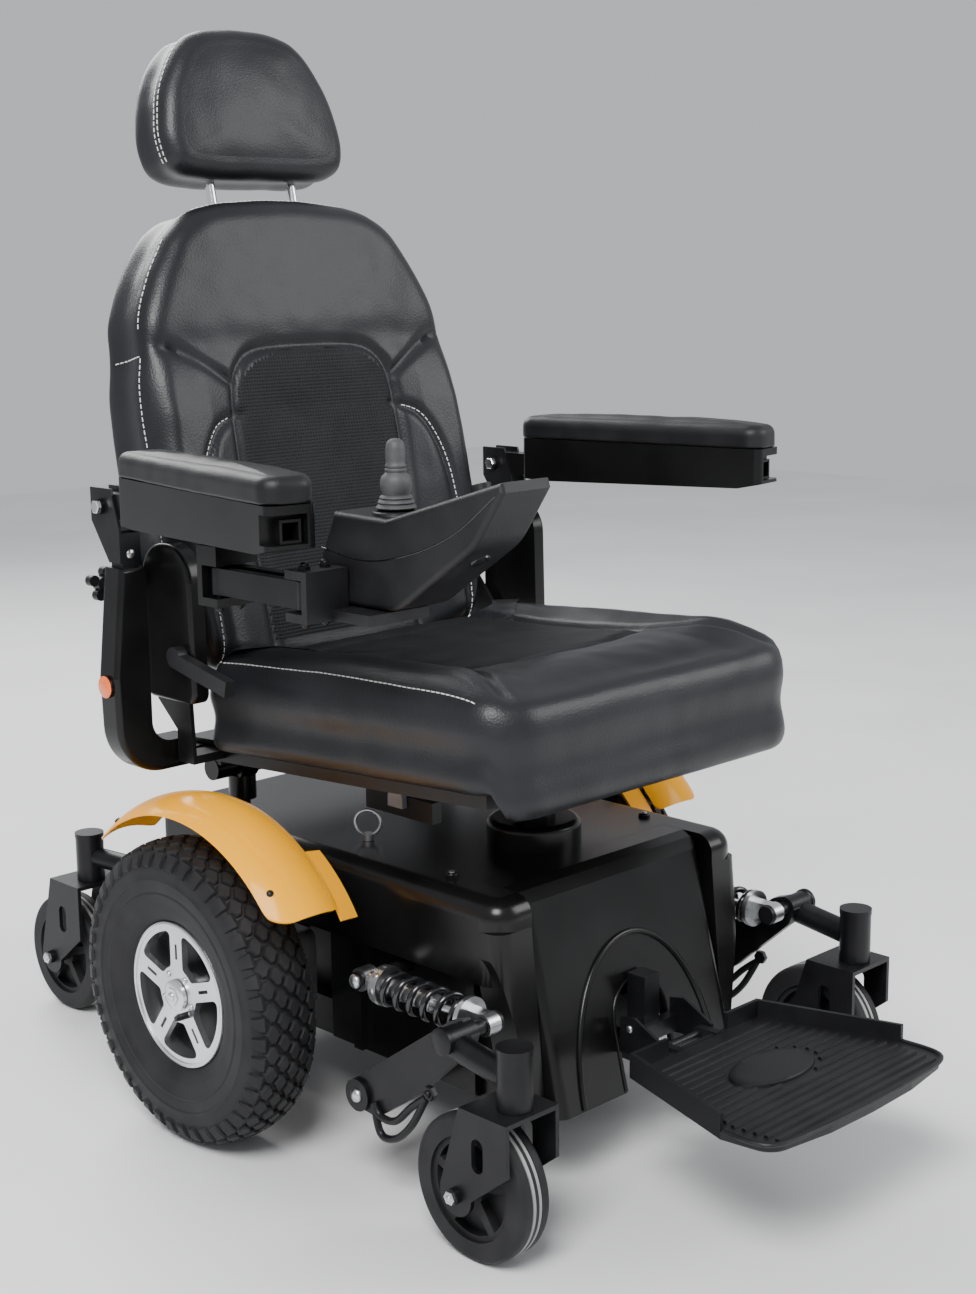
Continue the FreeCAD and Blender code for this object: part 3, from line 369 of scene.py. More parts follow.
def pillow(name, outline, low, high, edges, crown, place, body, node, detail, woven=None, waist=0.004,
           hem=None):
    """A stuffed cushion: an outline, depths of its two faces, edge radii and a crowned front.

    hem gives how far the lower edge hangs below the lower face."""
    outline = evenly(outline, PILLOW_STEPS)
    middle = Vector((sum(p[0] for p in outline), sum(p[1] for p in outline))) / PILLOW_STEPS
    normals = []
    for i in range(PILLOW_STEPS):
        p, q = outline[i - 1], outline[(i + 1) % PILLOW_STEPS]
        n = Vector((q[1] - p[1], p[0] - q[0])).normalized()
        if n.dot(Vector(outline[i]) - middle) < 0:
            n = -n
        normals.append(n)

    def inset(d):
        return [Vector(p) - n * d for p, n in zip(outline, normals)]

    back_r, front_r = edges
    rings = []
    for s in (0.02, 0.25, 0.5, 0.75, 0.92):
        rings.append(([middle + (p - middle) * s for p in inset(back_r)], low, 0.0))
    for k in range(6):
        a = math.radians(90 * (5 - k) / 5)
        rings.append((inset(back_r * (1 - math.cos(a))), low + back_r * (1 - math.sin(a)), 0.0))
    for k in range(1, 12):
        t = k / 12
        w = low + back_r + (high - front_r - low - back_r) * t
        rings.append((inset(waist * math.sin(math.pi * t) ** 2), w, 0.0))
    for k in range(8):
        a = math.radians(90 * k / 7)
        lift = math.sin(a)
        rings.append((inset(front_r * (1 - math.cos(a))), high - front_r * (1 - lift), lift ** 4))
    steps = 64
    for k in range(1, steps):
        s = 1 - k / steps
        bulge = crown * (1 - s ** 2.4)
        rings.append(([middle + (p - middle) * s for p in inset(front_r)], high + bulge, 1.0))
    made = []
    for ring, w, weight in rings:
        row = []
        for p, n in zip(ring, normals):
            drop = detail(p.x, p.y) * weight if weight else 0.0
            spot = Vector((p.x, p.y, w))
            ripple = 0.0022 * noise.noise(spot * 9.0) + 0.0009 * noise.noise(spot * 31.0)
            side = n * ripple * (1 - weight)
            sag = hem(p.x, p.y) * max(0.0, (high - w) / (high - low)) ** 1.5 if hem else 0.0
            row.append(place(p.x + side.x, p.y + side.y, w - sag - drop + ripple * weight))
        made.append(row)
    shape = Shape()
    shape.rings(made)
    cushion = shape.piece(name, LEATHER, body, "seat_black", 70.0)
    if woven:
        cushion.data.materials.append(WOVEN)
        front = len(rings) - steps
        for face in cushion.data.polygons:
            ring_index, i = divmod(face.vertices[0], PILLOW_STEPS)
            if front <= ring_index < len(rings):
                p = rings[ring_index][0][i]
                if woven(p.x, p.y):
                    face.material_index = 1
    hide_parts(node)
    return cushion


def plain(u, v):
    """The detail of a cushion face without seams."""
    return 0.0


STITCH, STITCH_GAP, THREAD_R = 0.0048, 0.0026, 0.00075


def stitches(name, cushion, lines, direction, body):
    """Thread laid on a cushion: each line is projected onto it along a direction."""
    tree = BVHTree.FromPolygons([v.co for v in cushion.data.vertices],
                                [p.vertices for p in cushion.data.polygons])
    direction = Vector(direction).normalized()
    shape = Shape()
    for line in lines:
        length = sum(math.dist(p, q) for p, q in zip(line, line[1:]))
        pitch = STITCH + STITCH_GAP
        count = max(2, int(length / pitch))
        ends = evenly(line, count * 3 + 1, closed=False)
        for k in range(count):
            hits = []
            for p in (ends[3 * k], ends[3 * k + 2]):
                hit = tree.ray_cast(Vector(p) - direction * 0.08, direction)
                if hit[0] is not None:
                    hits.append(hit[0] + hit[1] * 0.0003 * (-1 if hit[1].dot(direction) > 0 else 1))
            if len(hits) == 2 and 0.001 < (hits[0] - hits[1]).length < 0.012:
                shape.tube(hits, THREAD_R, 6)
    if shape.points:
        shape.piece(name, THREAD, body, "seat_black", 80.0)


SEAT_TILT = math.radians(3.5)
SEAT_PIVOT = (0.100, 0.440)
BACK_LEAN = math.radians(12.0)
BACK_HINGE = (0.100, 0.520)
TOE_OUT = math.radians(10.2)
ARM_REAR = (0.315, 0.0708)


def on_seat(u, v, w):
    """Seat coordinates: across, along the seat, and up, before the seat is tilted."""
    y, z = v - SEAT_PIVOT[0], w - SEAT_PIVOT[1]
    c, s = math.cos(SEAT_TILT), math.sin(SEAT_TILT)
    return at(u, SEAT_PIVOT[0] + y * c + z * s, SEAT_PIVOT[1] - y * s + z * c)


def on_back(u, v, w):
    """Back coordinates: across, up the back, and forward from the hinge, before it leans."""
    y, z = -w - BACK_HINGE[0], v - BACK_HINGE[1]
    c, s = math.cos(BACK_LEAN), math.sin(BACK_LEAN)
    return at(u, BACK_HINGE[0] + y * c + z * s, BACK_HINGE[1] - y * s + z * c)


def seat_cushion():
    """The seat: bolsters at the sides, a woven middle and a front lip that hangs over the pan."""
    half, front, rear = 0.248, -0.433, 0.050
    corner = 0.060
    outline = arc((half - corner, front + corner), corner, -90, 0, 10)
    outline += arc((half - 0.012, rear - 0.012), 0.012, 0, 90, 4)
    outline += [(-u, v) for u, v in reversed(outline)]
    bolster = curve_through([(0.150, 0.045), (0.148, -0.150), (0.158, -0.270), (0.196, -0.372),
                             (0.214, -0.420)])
    bolsters = [bolster, [(-u, v) for u, v in bolster]]
    cross = curve_through([(-0.158, -0.262), (-0.08, -0.286), (0.0, -0.292), (0.08, -0.286),
                           (0.158, -0.262)])
    seams = groove(bolsters + [cross], 0.0065, 0.0065)
    rear_seam = groove([[(-0.15, -0.02), (0.15, -0.02)]], 0.004, 0.006)

    def detail(u, v):
        side = max(0.0, min(1.0, (abs(u) - 0.145) / 0.05))
        front_fall = max(0.0, (-0.33 - v) / 0.10)
        dish = 0.010 * (1 - side) * max(0.0, 1 - ((v + 0.19) / 0.26) ** 2)
        return (seams(u, v) + rear_seam(u, v) + dish - 0.007 * side * (1 - min(1.0, front_fall))
                + 0.030 * min(1.0, front_fall) ** 2)

    def hem(u, v):
        front_lip = max(0.0, min(1.0, (-0.398 - v) / 0.014))
        side_lip = max(0.0, min(1.0, (abs(u) - 0.226) / 0.008))
        return max(0.036 * front_lip, 0.009 * side_lip)

    cushion = pillow("seat_cushion_soft", outline, 0.441, 0.546, (0.014, 0.044), 0.005, on_seat, "base",
                     "seat_cushion", detail, lambda u, v: abs(u) < 0.146 and v > -0.284, hem=hem)
    for side, sign in SIDES:
        line = [(0.036, 0.588), (-0.10, 0.592), (-0.24, 0.588), (-0.345, 0.580), (-0.392, 0.572)]
        seam = [on_seat(sign * 0.262, v, w) for v, w in curve_through(line)]
        stitches("seat_side_stitching_" + side, cushion, [seam], (-sign * 0.55, 0, -1), "base")


def back_cushion():
    """The back: sewn wings and bolsters round a woven insert."""
    half = [(0, 0.512), (0.200, 0.512), (0.232, 0.550), (0.248, 0.640), (0.250, 0.740), (0.246, 0.850),
            (0.234, 0.900), (0.232, 0.940), (0.204, 0.996), (0.170, 1.044), (0.122, 1.072), (0, 1.079)]
    outline = rounded(both_halves(half))
    insert = curve_through([(0.118, 0.520), (0.124, 0.640), (0.130, 0.760), (0.127, 0.840),
                            (0.112, 0.876), (0.076, 0.893), (0.0, 0.896)])
    wing = curve_through([(0.128, 0.852), (0.160, 0.874), (0.200, 0.896), (0.240, 0.905)])
    bolster = curve_through([(0.123, 0.815), (0.160, 0.800), (0.186, 0.755), (0.197, 0.690), (0.200, 0.600),
                             (0.198, 0.520)])
    lines = [insert, wing, bolster]
    lines += [[(-u, v) for u, v in line] for line in lines]
    seams = groove(lines, 0.0075, 0.0062)

    def detail(u, v):
        side = max(0.0, min(1.0, (abs(u) - 0.13) / 0.09))
        low = max(0.0, min(1.0, (0.90 - v) / 0.08))
        hollow = 0.012 * max(0.0, 1 - (u / 0.17) ** 2) * low
        return seams(u, v) + hollow - 0.010 * side * low + 0.004 * math.exp(-((v - 0.90) / 0.02) ** 2)

    def inside(u, v):
        if v > 0.892:
            return False
        edge = 0.122 if v < 0.825 else 0.122 * math.sqrt(max(0.0, 1 - ((v - 0.825) / 0.069) ** 3))
        return abs(u) < edge

    cushion = pillow("back_cushion_soft", outline, -0.166, -0.070, (0.010, 0.028), 0.004, on_back,
                     "backrest", "backrest_cushion", detail, inside)
    sewn = []
    for sign in (-1, 1):
        line = [(sign * (abs(u) + 0.0045), v) for u, v in bolster[4:]]
        sewn.append([on_back(u, v, -0.05) for u, v in line])
    forward = on_back(0, 0, 1) - on_back(0, 0, 0)
    stitches("back_bolster_stitching", cushion, sewn, -forward, "backrest")
    for side, sign in SIDES:
        upper = [on_back(sign * 0.30, v, -0.094) for v in (0.925, 0.965, 1.000, 1.032)]
        lower = [on_back(sign * 0.30, v, -0.094) for v in (0.62, 0.74, 0.84, 0.893)]
        level = [on_back(sign * 0.30, 0.893, w) for w in (-0.096, -0.120, -0.150)]
        stitches("back_side_stitching_" + side, cushion, [upper, lower, level], (-sign, 0, 0), "backrest")
    over = [on_back(u, 1.15, -0.094) for u in (-0.13, -0.05, 0.05, 0.13)]
    down = on_back(0, 0, 0) - on_back(0, 1, 0)
    stitches("back_top_stitching", cushion, [over], down, "backrest")


def headrest():
    """The headrest pad with two rows of thread on each side."""
    half = [(0, 1.109), (0.104, 1.109), (0.134, 1.124), (0.142, 1.160), (0.131, 1.216), (0.104, 1.264),
            (0.070, 1.292), (0, 1.299)]
    outline = rounded(both_halves(half))
    pad = pillow("headrest_soft", outline, -0.178, -0.098, (0.014, 0.024), 0.008, on_back, "headrest",
                 "headrest_pad", plain, None, 0.003)
    for side, sign in SIDES:
        rows = []
        for w in (-0.120, -0.128):
            rows.append([on_back(sign * 0.22, v, w) for v in (1.130, 1.17, 1.21, 1.250, 1.280)])
        stitches("headrest_stitching_" + side, pad, rows, (-sign, 0, 0), "headrest")


def arm_pads():
    """The grained pads on top of both armrests."""
    x, rear = ARM_REAR
    for side, sign in SIDES:
        def place(u, v, w, sign=sign):
            """Pad coordinates: across, along the arm, and up, before the arm is toed out."""
            c, s = math.cos(TOE_OUT), math.sin(TOE_OUT)
            return at(sign * (x + u * c - v * s), rear + u * s + v * c, w)
        corner = 0.022
        outline = arc((0.030 - corner, -0.353 + corner), corner, -90, 0, 8)
        outline += arc((0.030 - 0.016, -0.014), 0.016, 0, 90, 6)
        outline += [(-u, v) for u, v in reversed(outline)]
        pad = pillow("armrest_pad_soft_" + side, outline, 0.7616, 0.790, (0.003, 0.013), 0.005, place,
                     "armrest_" + side, "armrest_pad_" + side, plain, None, 0.0)
        pad.data.materials[0] = GRAINED


seat_cushion()
back_cushion()
headrest()
arm_pads()


# ---- drive tyres --------------------------------------------------------------------------------
LUGS = 44
# a lug's rings from its root to its top: how much wider than its outline, how far under the tread
LUG_RINGS = ((1.06, 0.0075), (1.0, 0.0022), (0.84, 0.0))
# a shoulder block's rings from its outer to its inner end: radius, lift, half width in lug pitches
SHOULDER_RINGS = ((0.168, 0.0350, 0.40), (0.1625, 0.0392, 0.36), (0.1530, 0.0425, 0.30),
                  (0.1500, 0.0400, 0.26))
SHOULDER_DEPTH = 0.004


def tread_radius(x):
    """The radius of the crowned tread at a distance from its middle."""
    return TYRE_R - 0.0055 * (abs(x) / 0.030) ** 2


def drive_tyre(side, sign):
    """A tyre with ribbed sidewalls and rows of blocks round its tread."""
    shape = Shape()
    half = [(0.000, 0.1715), (0.014, 0.1710), (0.026, 0.1685), (0.034, 0.1630), (0.0385, 0.1560),
            (0.0408, 0.1450), (0.0412, 0.1370), (0.0418, 0.1360), (0.0418, 0.1335), (0.0410, 0.1325),
            (0.0400, 0.1220), (0.0396, 0.1210), (0.0402, 0.1200), (0.0402, 0.1180), (0.0394, 0.1170),
            (0.0370, 0.1040), (0.0362, 0.1020), (0.0340, 0.0960), (0.0300, 0.0880), (0.0260, 0.0850)]
    profile = half + [(-u, r) for u, r in reversed(half[1:])]
    hub = at(sign * abs(AXLE.x), 0, TYRE_R)
    shape.turned(profile, hub, (1, 0, 0), 120, closed=True)
    pitch = math.tau / LUGS

    def lug(outline):
        """One block of the tread over an outline of (across, angle)."""
        cu = sum(p[0] for p in outline) / len(outline)
        ca = sum(p[1] for p in outline) / len(outline)
        rings = []
        for scale, drop in LUG_RINGS:
            ring = []
            for u, a in outline:
                uu, aa = cu + (u - cu) * scale, ca + (a - ca) * scale
                r = tread_radius(uu) - drop
                ring.append(hub + Vector((uu, r * math.cos(aa), r * math.sin(aa))))
            rings.append(ring)
        shape.rings(rings)

    def diamond(u, a, du, da):
        return [(u - du, a), (u - du * 0.25, a - da), (u + du * 0.25, a - da), (u + du, a),
                (u + du * 0.25, a + da), (u - du * 0.25, a + da)]

    for i in range(LUGS):
        a = i * pitch
        lug(diamond(0.0, a, 0.0078, pitch * 0.40))
        for u in (-0.0138, 0.0138):
            lug(diamond(u, a + pitch / 2, 0.0078, pitch * 0.40))
        for u in (-0.0270, 0.0270):
            lug(diamond(u, a, 0.0075, pitch * 0.42))
        for s in (-1, 1):
            rings = []
            for r, lift, wide in SHOULDER_RINGS:
                ring = []
                for q, share in ((lift - SHOULDER_DEPTH, -wide), (lift, -wide * 0.8),
                                 (lift, wide * 0.8), (lift - SHOULDER_DEPTH, wide)):
                    turn = a + pitch * (0.5 + share)
                    ring.append(hub + Vector((s * q, r * math.cos(turn), r * math.sin(turn))))
                rings.append(ring)
            shape.rings(rings)
    tyre = shape.piece("drive_tyre_tread_" + side, RUBBER, "drive_wheel_" + side, "tyre_black", 30.0)
    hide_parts("drive_tyre_" + side)


for side, sign in SIDES:
    drive_tyre(side, sign)


# ---- casters, suspension and fixings ------------------------------------------------------------
CASTER_R = 0.078
CASTERS = {"front": (0.287, -0.4815), "rear": (0.190, 0.405)}
CASTER_TRAIL = 0.0475
DOME = [(0.0, 1.0), (0.35, 0.97), (0.65, 0.82), (0.88, 0.55), (1.0, 0.18)]


def dome(shape, spot, axis, radius, height, steps=20):
    """A domed bolt head whose flat side sits at the spot."""
    profile = [(height * h, radius * r) for h, r in DOME]
    shape.turned([(-0.0005, radius)] + profile, spot, axis, steps)


def hexagon(shape, spot, axis, radius, height):
    """A nut whose flat side sits at the spot."""
    shape.turned([(-0.0005, radius), (height * 0.8, radius), (height, radius * 0.86)], spot, axis, 6)


def caster_strips():
    """The pale rings in each caster's tread, its web and the nuts of its axle bolt."""
    for end, (x, y) in CASTERS.items():
        for side, sign in SIDES:
            hub = at(sign * x, y + CASTER_TRAIL, CASTER_R)
            wheel = "caster_wheel_%s_%s" % (end, side)
            strip = Shape()
            for low, high in ((-0.0058, -0.0022), (0.0022, 0.0058)):
                strip.turned([(low, 0.0760), (low, 0.0781), (high, 0.0781), (high, 0.0760)], hub,
                             (1, 0, 0), 96, closed=True)
            strip.piece("caster_strip_%s_%s" % (end, side), GREY_RUBBER, wheel, "tyre_black")
            web = Shape()
            web.turned([(-0.0062, 0.0120), (-0.0062, 0.0500), (0.0062, 0.0500), (0.0062, 0.0120)], hub,
                       (1, 0, 0), 60, closed=True)
            web.piece("caster_web_%s_%s" % (end, side), GRAINED, wheel, "tyre_black")
            bolts = Shape()
            for out in (-1, 1):
                spot = hub + Vector((out * 0.0435, 0, 0))
                hexagon(bolts, spot, (out, 0, 0), 0.0075, 0.004)
                dome(bolts, spot + Vector((out * 0.0038, 0, 0)), (out, 0, 0), 0.0035, 0.0022)
            bolts.piece("caster_bolts_%s_%s" % (end, side), ZINC, "caster_fork_%s_%s" % (end, side), "zinc")


SHOCK_X, SHOCK_Z = 0.239, 0.2234
SPRING_FRONT, SPRING_REAR = -0.366, -0.246
SPRING_TURNS = 6.0


def springs():
    """The coil springs, each carried on the body of its damper."""
    wire, coil = 0.0040, 0.0172
    for side, sign in SIDES:
        path = []
        count = 200
        for i in range(count + 1):
            t = i / count
            a = math.tau * SPRING_TURNS * t
            flat = min(1.0, max(0.0, (t - 0.06) / 0.88))
            y = SPRING_FRONT + wire + 0.0004 + (SPRING_REAR - SPRING_FRONT - 2 * wire - 0.0008) * flat
            path.append(at(sign * SHOCK_X + coil * math.cos(a), y, SHOCK_Z + coil * math.sin(a)))
        shape = Shape()
        shape.tube(path, wire, 12)
        spring = shape.piece("coil_spring_" + side, GLOSS, "shock_body_" + side, "frame_black", 60.0)
        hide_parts("shock_spring_" + side)
        tuple(at(sign * SHOCK_X, SPRING_REAR, SHOCK_Z))
        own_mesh(spring)


ARM_PIVOT = (-0.235, 0.1087)
SHOCK_REAR_Y = -0.206
CROSS_TUBE = (-0.396, 0.2234)
ADJUSTER_Y, ADJUSTER_R, NOTCHES = -0.240, 0.0205, 8
LOOP_X, LOOP_WIRE, LOOP_DROP = 0.2795, 0.0042, 0.020
LOOP_BOLT = (-0.350, 0.146)


def suspension_fixings():
    """Bolt heads, the adjuster's notches, the cross tube's cap and the two bent bars of each arm."""
    for side, sign in SIDES:
        out = (sign, 0, 0)
        bright = Shape()
        dome(bright, at(sign * 0.281, *ARM_PIVOT), out, 0.008, 0.005)
        dome(bright, at(sign * 0.254, SHOCK_REAR_Y, SHOCK_Z), out, 0.008, 0.005)
        bright.piece("pivot_bolts_" + side, ZINC, "base", "zinc")
        collar = Shape()
        for k in range(NOTCHES):
            a = math.tau * k / NOTCHES
            spot = at(sign * SHOCK_X + ADJUSTER_R * math.cos(a), ADJUSTER_Y,
                      SHOCK_Z + ADJUSTER_R * math.sin(a))
            dome(collar, spot, (math.cos(a), 0, math.sin(a)), 0.0040, 0.0022, 8)
        collar.piece("adjuster_notches_" + side, ZINC, "shock_body_" + side, "zinc")
        cross = Shape()
        cross.turned([(0, 0.0125), (0.0015, 0.0145), (0.006, 0.0145), (0.0075, 0.0120)],
                     at(sign * 0.300, *CROSS_TUBE), out, 28)
        cross.piece("cross_tube_cap_" + side, PAINT, "front_arm_" + side, "frame_black")
        loops = Shape()
        nuts = Shape()
        for lower in (0.0, LOOP_DROP):
            bend = [(-0.345, 0.140), (-0.322, 0.122 - lower), (-0.296, 0.098 - lower),
                    (-0.272, 0.096 - lower), (-0.262, 0.108)]
            loops.tube([at(sign * LOOP_X, y, z) for y, z in curve_through(bend, 8)], LOOP_WIRE, 12)
        hexagon(nuts, at(sign * 0.2765, *LOOP_BOLT), out, 0.0085, 0.006)
        dome(nuts, at(sign * 0.2820, *LOOP_BOLT), out, 0.0045, 0.004)
        loops.piece("transport_loops_" + side, PAINT, "front_arm_" + side, "frame_black")
        nuts.piece("loop_nuts_" + side, PAINT, "front_arm_" + side, "frame_black")


SPOKE_FACE_X, HUB_FACE_X, DISC_X = 0.344, 0.352, 0.318
HUB_SCREWS, HUB_SCREW_RING = 5, 0.0262


def wheel_details():
    """The dark disc behind the spokes that paints the shade inside the rim, the rim's lip, the hub with its
    screws and the valve cap.
    """
    for side, sign in SIDES:
        face = sign * SPOKE_FACE_X
        # painted shade: a dark disc where the inside of the rim is only in shade behind the spokes
        back = Shape()
        back.turned([(0, 0.079), (0.002, 0.080)], at(sign * DISC_X, 0, TYRE_R), (sign, 0, 0), 60)
        back.piece("wheel_shadow_disc_" + side, PAINT, "drive_wheel_" + side, "frame_black")
        lip = Shape()
        bead = [(-0.002, 0.0795), (0.0005, 0.0800), (0.0012, 0.0822), (0.0005, 0.0842), (-0.002, 0.0845)]
        lip.turned(bead, at(face, 0, TYRE_R), (sign, 0, 0), 90, closed=True)
        lip.piece("rim_lip_" + side, SILVER, "drive_wheel_" + side, "wheel_silver")
        hub = Shape()
        hub.turned([(0, 0.0185), (0.004, 0.0180), (0.006, 0.0150)], at(face, 0, TYRE_R), (sign, 0, 0), 40)
        dome(hub, at(sign * HUB_FACE_X, 0, TYRE_R), (sign, 0, 0), 0.0055, 0.003)
        for k in range(HUB_SCREWS):
            a = math.tau * (k + 0.5) / HUB_SCREWS
            spot = at(face, HUB_SCREW_RING * math.sin(a), TYRE_R + HUB_SCREW_RING * math.cos(a))
            dome(hub, spot, (sign, 0, 0), 0.0035, 0.002)
        hub.piece("wheel_hub_" + side, SILVER, "drive_wheel_" + side, "wheel_silver")
        valve = Shape()
        valve.turned([(0, 0.0042), (0.012, 0.0040), (0.0125, 0.0032), (0.016, 0.0030)],
                     at(face, -0.018, TYRE_R - 0.019), (sign, 0, 0), 20)
        valve.piece("valve_cap_" + side, GRAINED, "drive_wheel_" + side, "tyre_black")


# ---- covers and footplate -----------------------------------------------------------------------
SHROUD_FOOT, SHROUD_HEAD = (-0.4136, 0.090), (-0.357, 0.318)


def shroud_face(x, z, proud=0.0):
    """A place on the front shroud's sloping face."""
    (y0, z0), (y1, z1) = SHROUD_FOOT, SHROUD_HEAD
    return at(x, y0 + (y1 - y0) * (z - z0) / (z1 - z0) - proud, z)


def arch_lip():
    """The raised edges of the shroud's big arch and of the slot for the footplate post."""
    low, rise, half = 0.092, 0.163, 0.111
    slot_half, slot_top = 0.0435, 0.163
    lip = Shape()
    path = [shroud_face(half * math.cos(a), low + rise * math.sin(a))
            for a in (math.pi * i / 48 for i in range(49))]
    lip.tube(path, 0.0038, 12)
    slot = [shroud_face(slot_half, z) for z in (low, 0.128)]
    slot += [shroud_face(slot_half * math.cos(a), slot_top + slot_half * math.sin(a))
             for a in (math.pi * i / 30 for i in range(31))]
    slot += [shroud_face(-slot_half, z) for z in (0.128, low)]
    lip.tube(slot, 0.0024, 12)
    lip.piece("shroud_arch_lips", PLASTIC, "base", "cover_black")


def seat_release():
    """The bar and tab that hang under the seat's right side."""
    bar = Shape()
    bar.prism([(-0.230, 0.384), (-0.120, 0.384), (-0.120, 0.408), (-0.230, 0.408)], -0.158, -0.144,
              lambda u, v, w: at(w, u, v))
    bar.piece("seat_release_bar", PAINT, "base", "frame_black")
    tab = Shape()
    top = arc((-0.178, 0.406), 0.012, 0, 180, 10)
    outline = [(-0.166, 0.396), (-0.166, 0.406)] + top + [(-0.190, 0.396)]
    tab.prism(outline, -0.166, -0.159, lambda u, v, w: at(w, u, v))
    tab.piece("seat_release_tab", ALLOY, "base", "frame_black")


FENDER_RING, FENDER_CENTRE_Y, FENDER_CENTRE_Z = 0.2235, -0.014, 0.174


def cover_fixings():
    """Screws in the top cover, rivets in the fenders and the amber lenses of the sleeves."""
    screws = Shape()
    for x, y in ((0.160, -0.262), (-0.160, -0.262), (0.168, 0.060), (-0.168, 0.060)):
        dome(screws, at(x, y, 0.338), (0, 0, 1), 0.0035, 0.0015)
    screws.piece("cover_screws", ZINC, "base", "zinc")
    rivets = Shape()
    for sign in (1, -1):
        for turn in (46.0, 124.0):
            a = math.radians(turn)
            y, z = FENDER_CENTRE_Y - FENDER_RING * math.cos(a), FENDER_CENTRE_Z + FENDER_RING * math.sin(a)
            dome(rivets, at(sign * 0.338, y, z), (sign * 0.45, -math.cos(a), math.sin(a)), 0.0042, 0.003)
    rivets.piece("fender_rivets", PAINT, "base", "fender_yellow")
    reflectors = Shape()
    for sign in (1, -1):
        reflectors.turned([(0, 0.0130), (0.0022, 0.0128), (0.0030, 0.0115)],
                          at(sign * 0.3475, 0.107, 0.520), (sign, 0, 0), 32)
    reflectors.piece("side_reflectors", AMBER, "base", "cover_black")


PLATE_Z = 0.155


def footplate_half_width(y):
    """Half the width of the footplate's floor at a distance along it."""
    knots = ((-0.474, 0.104), (-0.635, 0.154), (-0.692, 0.148), (-0.704, 0.068))
    for (y0, w0), (y1, w1) in zip(knots, knots[1:]):
        if y1 <= y <= y0:
            return w0 + (w1 - w0) * (y - y0) / (y1 - y0)
    return 0.05


def footplate_details():
    """Ribs, a plain oval boss, the bead round the front edge and the rivets of the hinge."""
    ribs = Shape()
    boss_y, boss_a, boss_b = -0.578, 0.060, 0.034
    pitch = 0.0125
    y = -0.500
    while y > -0.690:
        wide = footplate_half_width(y) - 0.012
        gap = 0.0
        if abs(y - boss_y) < boss_b + 0.004:
            gap = (boss_a + 0.006) * math.sqrt(1 - ((y - boss_y) / (boss_b + 0.0045)) ** 2)
        spans = [(-wide, -gap), (gap, wide)] if gap else [(-wide, wide)]
        for x0, x1 in spans:
            section = [(-0.0030, -0.0005), (-0.0018, 0.0024), (0.0018, 0.0024), (0.0030, -0.0005)]
            ribs.rings([[at(x, y + dy, PLATE_Z + dz) for dy, dz in section] for x in (x0, x1)])
        y -= pitch
    ribs.piece("footplate_ribs", GRAINED, "footplate", "cover_black")
    boss = Shape()
    rings = []
    for grow, lift in ((1.0, -0.0005), (0.985, 0.0022), (0.94, 0.0034), (0.80, 0.0036)):
        ring = []
        for i in range(60):
            a = math.tau * i / 60
            ring.append(at(boss_a * grow * math.cos(a), boss_y + boss_b * grow * math.sin(a),
                           PLATE_Z + lift))
        rings.append(ring)
    boss.rings(rings)
    boss.piece("footplate_boss", GRAINED, "footplate", "cover_black")
    edge = Shape()
    half = [(0.1555, -0.636), (0.1475, -0.690), (0.070, -0.7015), (0.0, -0.7035)]
    line = curve_through(half, 8)
    line += [(-x, yy) for x, yy in reversed(line[:-1])]
    edge.tube([at(x, yy, PLATE_Z + 0.0005) for x, yy in line], 0.0026, 10)
    edge.piece("footplate_edge_bead", GRAINED, "footplate", "cover_black")
    rivets = Shape()
    for sign in (-1, 1):
        dome(rivets, at(sign * 0.044, -0.455, 0.150), (sign, 0, 0), 0.0060, 0.0035)
        dome(rivets, at(sign * 0.044, -0.418, 0.166), (sign, 0, 0), 0.0045, 0.0028)
    rivets.piece("footplate_hinge_rivets", ZINC, "base", "zinc")


# ---- joystick and arms --------------------------------------------------------------------------
STICK = (-0.272, -0.308, 0.722)
BOOT_WALL = 0.0014


def joystick():
    """The grip, with a bellows in two steps: pod to gimbal ring, and gimbal ring to stick."""
    x, y, z = STICK
    skirt = [(0.0285, 0.0190), (0.0300, 0.0205), (0.0320, 0.0190), (0.0335, 0.0172), (0.0350, 0.0186)]
    neck = [(0.0350, 0.0186), (0.0370, 0.0176), (0.0382, 0.0156), (0.0396, 0.0168), (0.0414, 0.0158),
            (0.0424, 0.0136), (0.0440, 0.0140)]
    grip = [(-0.0050, 0.0035), (0.0430, 0.0035), (0.0440, 0.0140), (0.0470, 0.0152), (0.0520, 0.0160),
            (0.0570, 0.0157), (0.0610, 0.0140), (0.0635, 0.0112), (0.0650, 0.0100), (0.0662, 0.0110),
            (0.0680, 0.0110), (0.0690, 0.0096), (0.0702, 0.0106), (0.0720, 0.0106), (0.0730, 0.0096),
            (0.0760, 0.0098), (0.0880, 0.0098), (0.0930, 0.0090), (0.0960, 0.0070), (0.0976, 0.0040),
            (0.0980, 0.0012)]
    for name, fold, below, above in (("joystick_boot_skirt", skirt, "joystick_pod", "joystick_gimbal"),
                                     ("joystick_boot_neck", neck, "joystick_gimbal", "joystick_stick")):
        shape = Shape()
        inside = [(h, r - BOOT_WALL) for h, r in reversed(fold)]
        shape.turned(fold + inside, at(x, y, z), (0, 0, 1), 48, closed=True)
        bellows = shape.piece(name, BOOT, None, "grip_black", 60.0)
        tuple(at(x, y, z + fold[0][0]))
        tuple(at(x, y, z + fold[-1][0]))
        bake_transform(bellows)
    shape = Shape()
    shape.turned(grip, at(x, y, z), (0, 0, 1), 48)
    stick = shape.piece("joystick_grip", BOOT, "joystick_stick", "grip_black", 60.0)
    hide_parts("joystick_stick")
    collar = Shape()
    collar.turned([(0.0, 0.0182), (0.0, 0.0250), (0.0030, 0.0242), (0.0042, 0.0225), (0.0042, 0.0182)],
                  at(x, y, 0.7445), (0, 0, 1), 48, closed=True)
    collar.piece("joystick_collar", GRAINED, "joystick_pod", "cover_black")


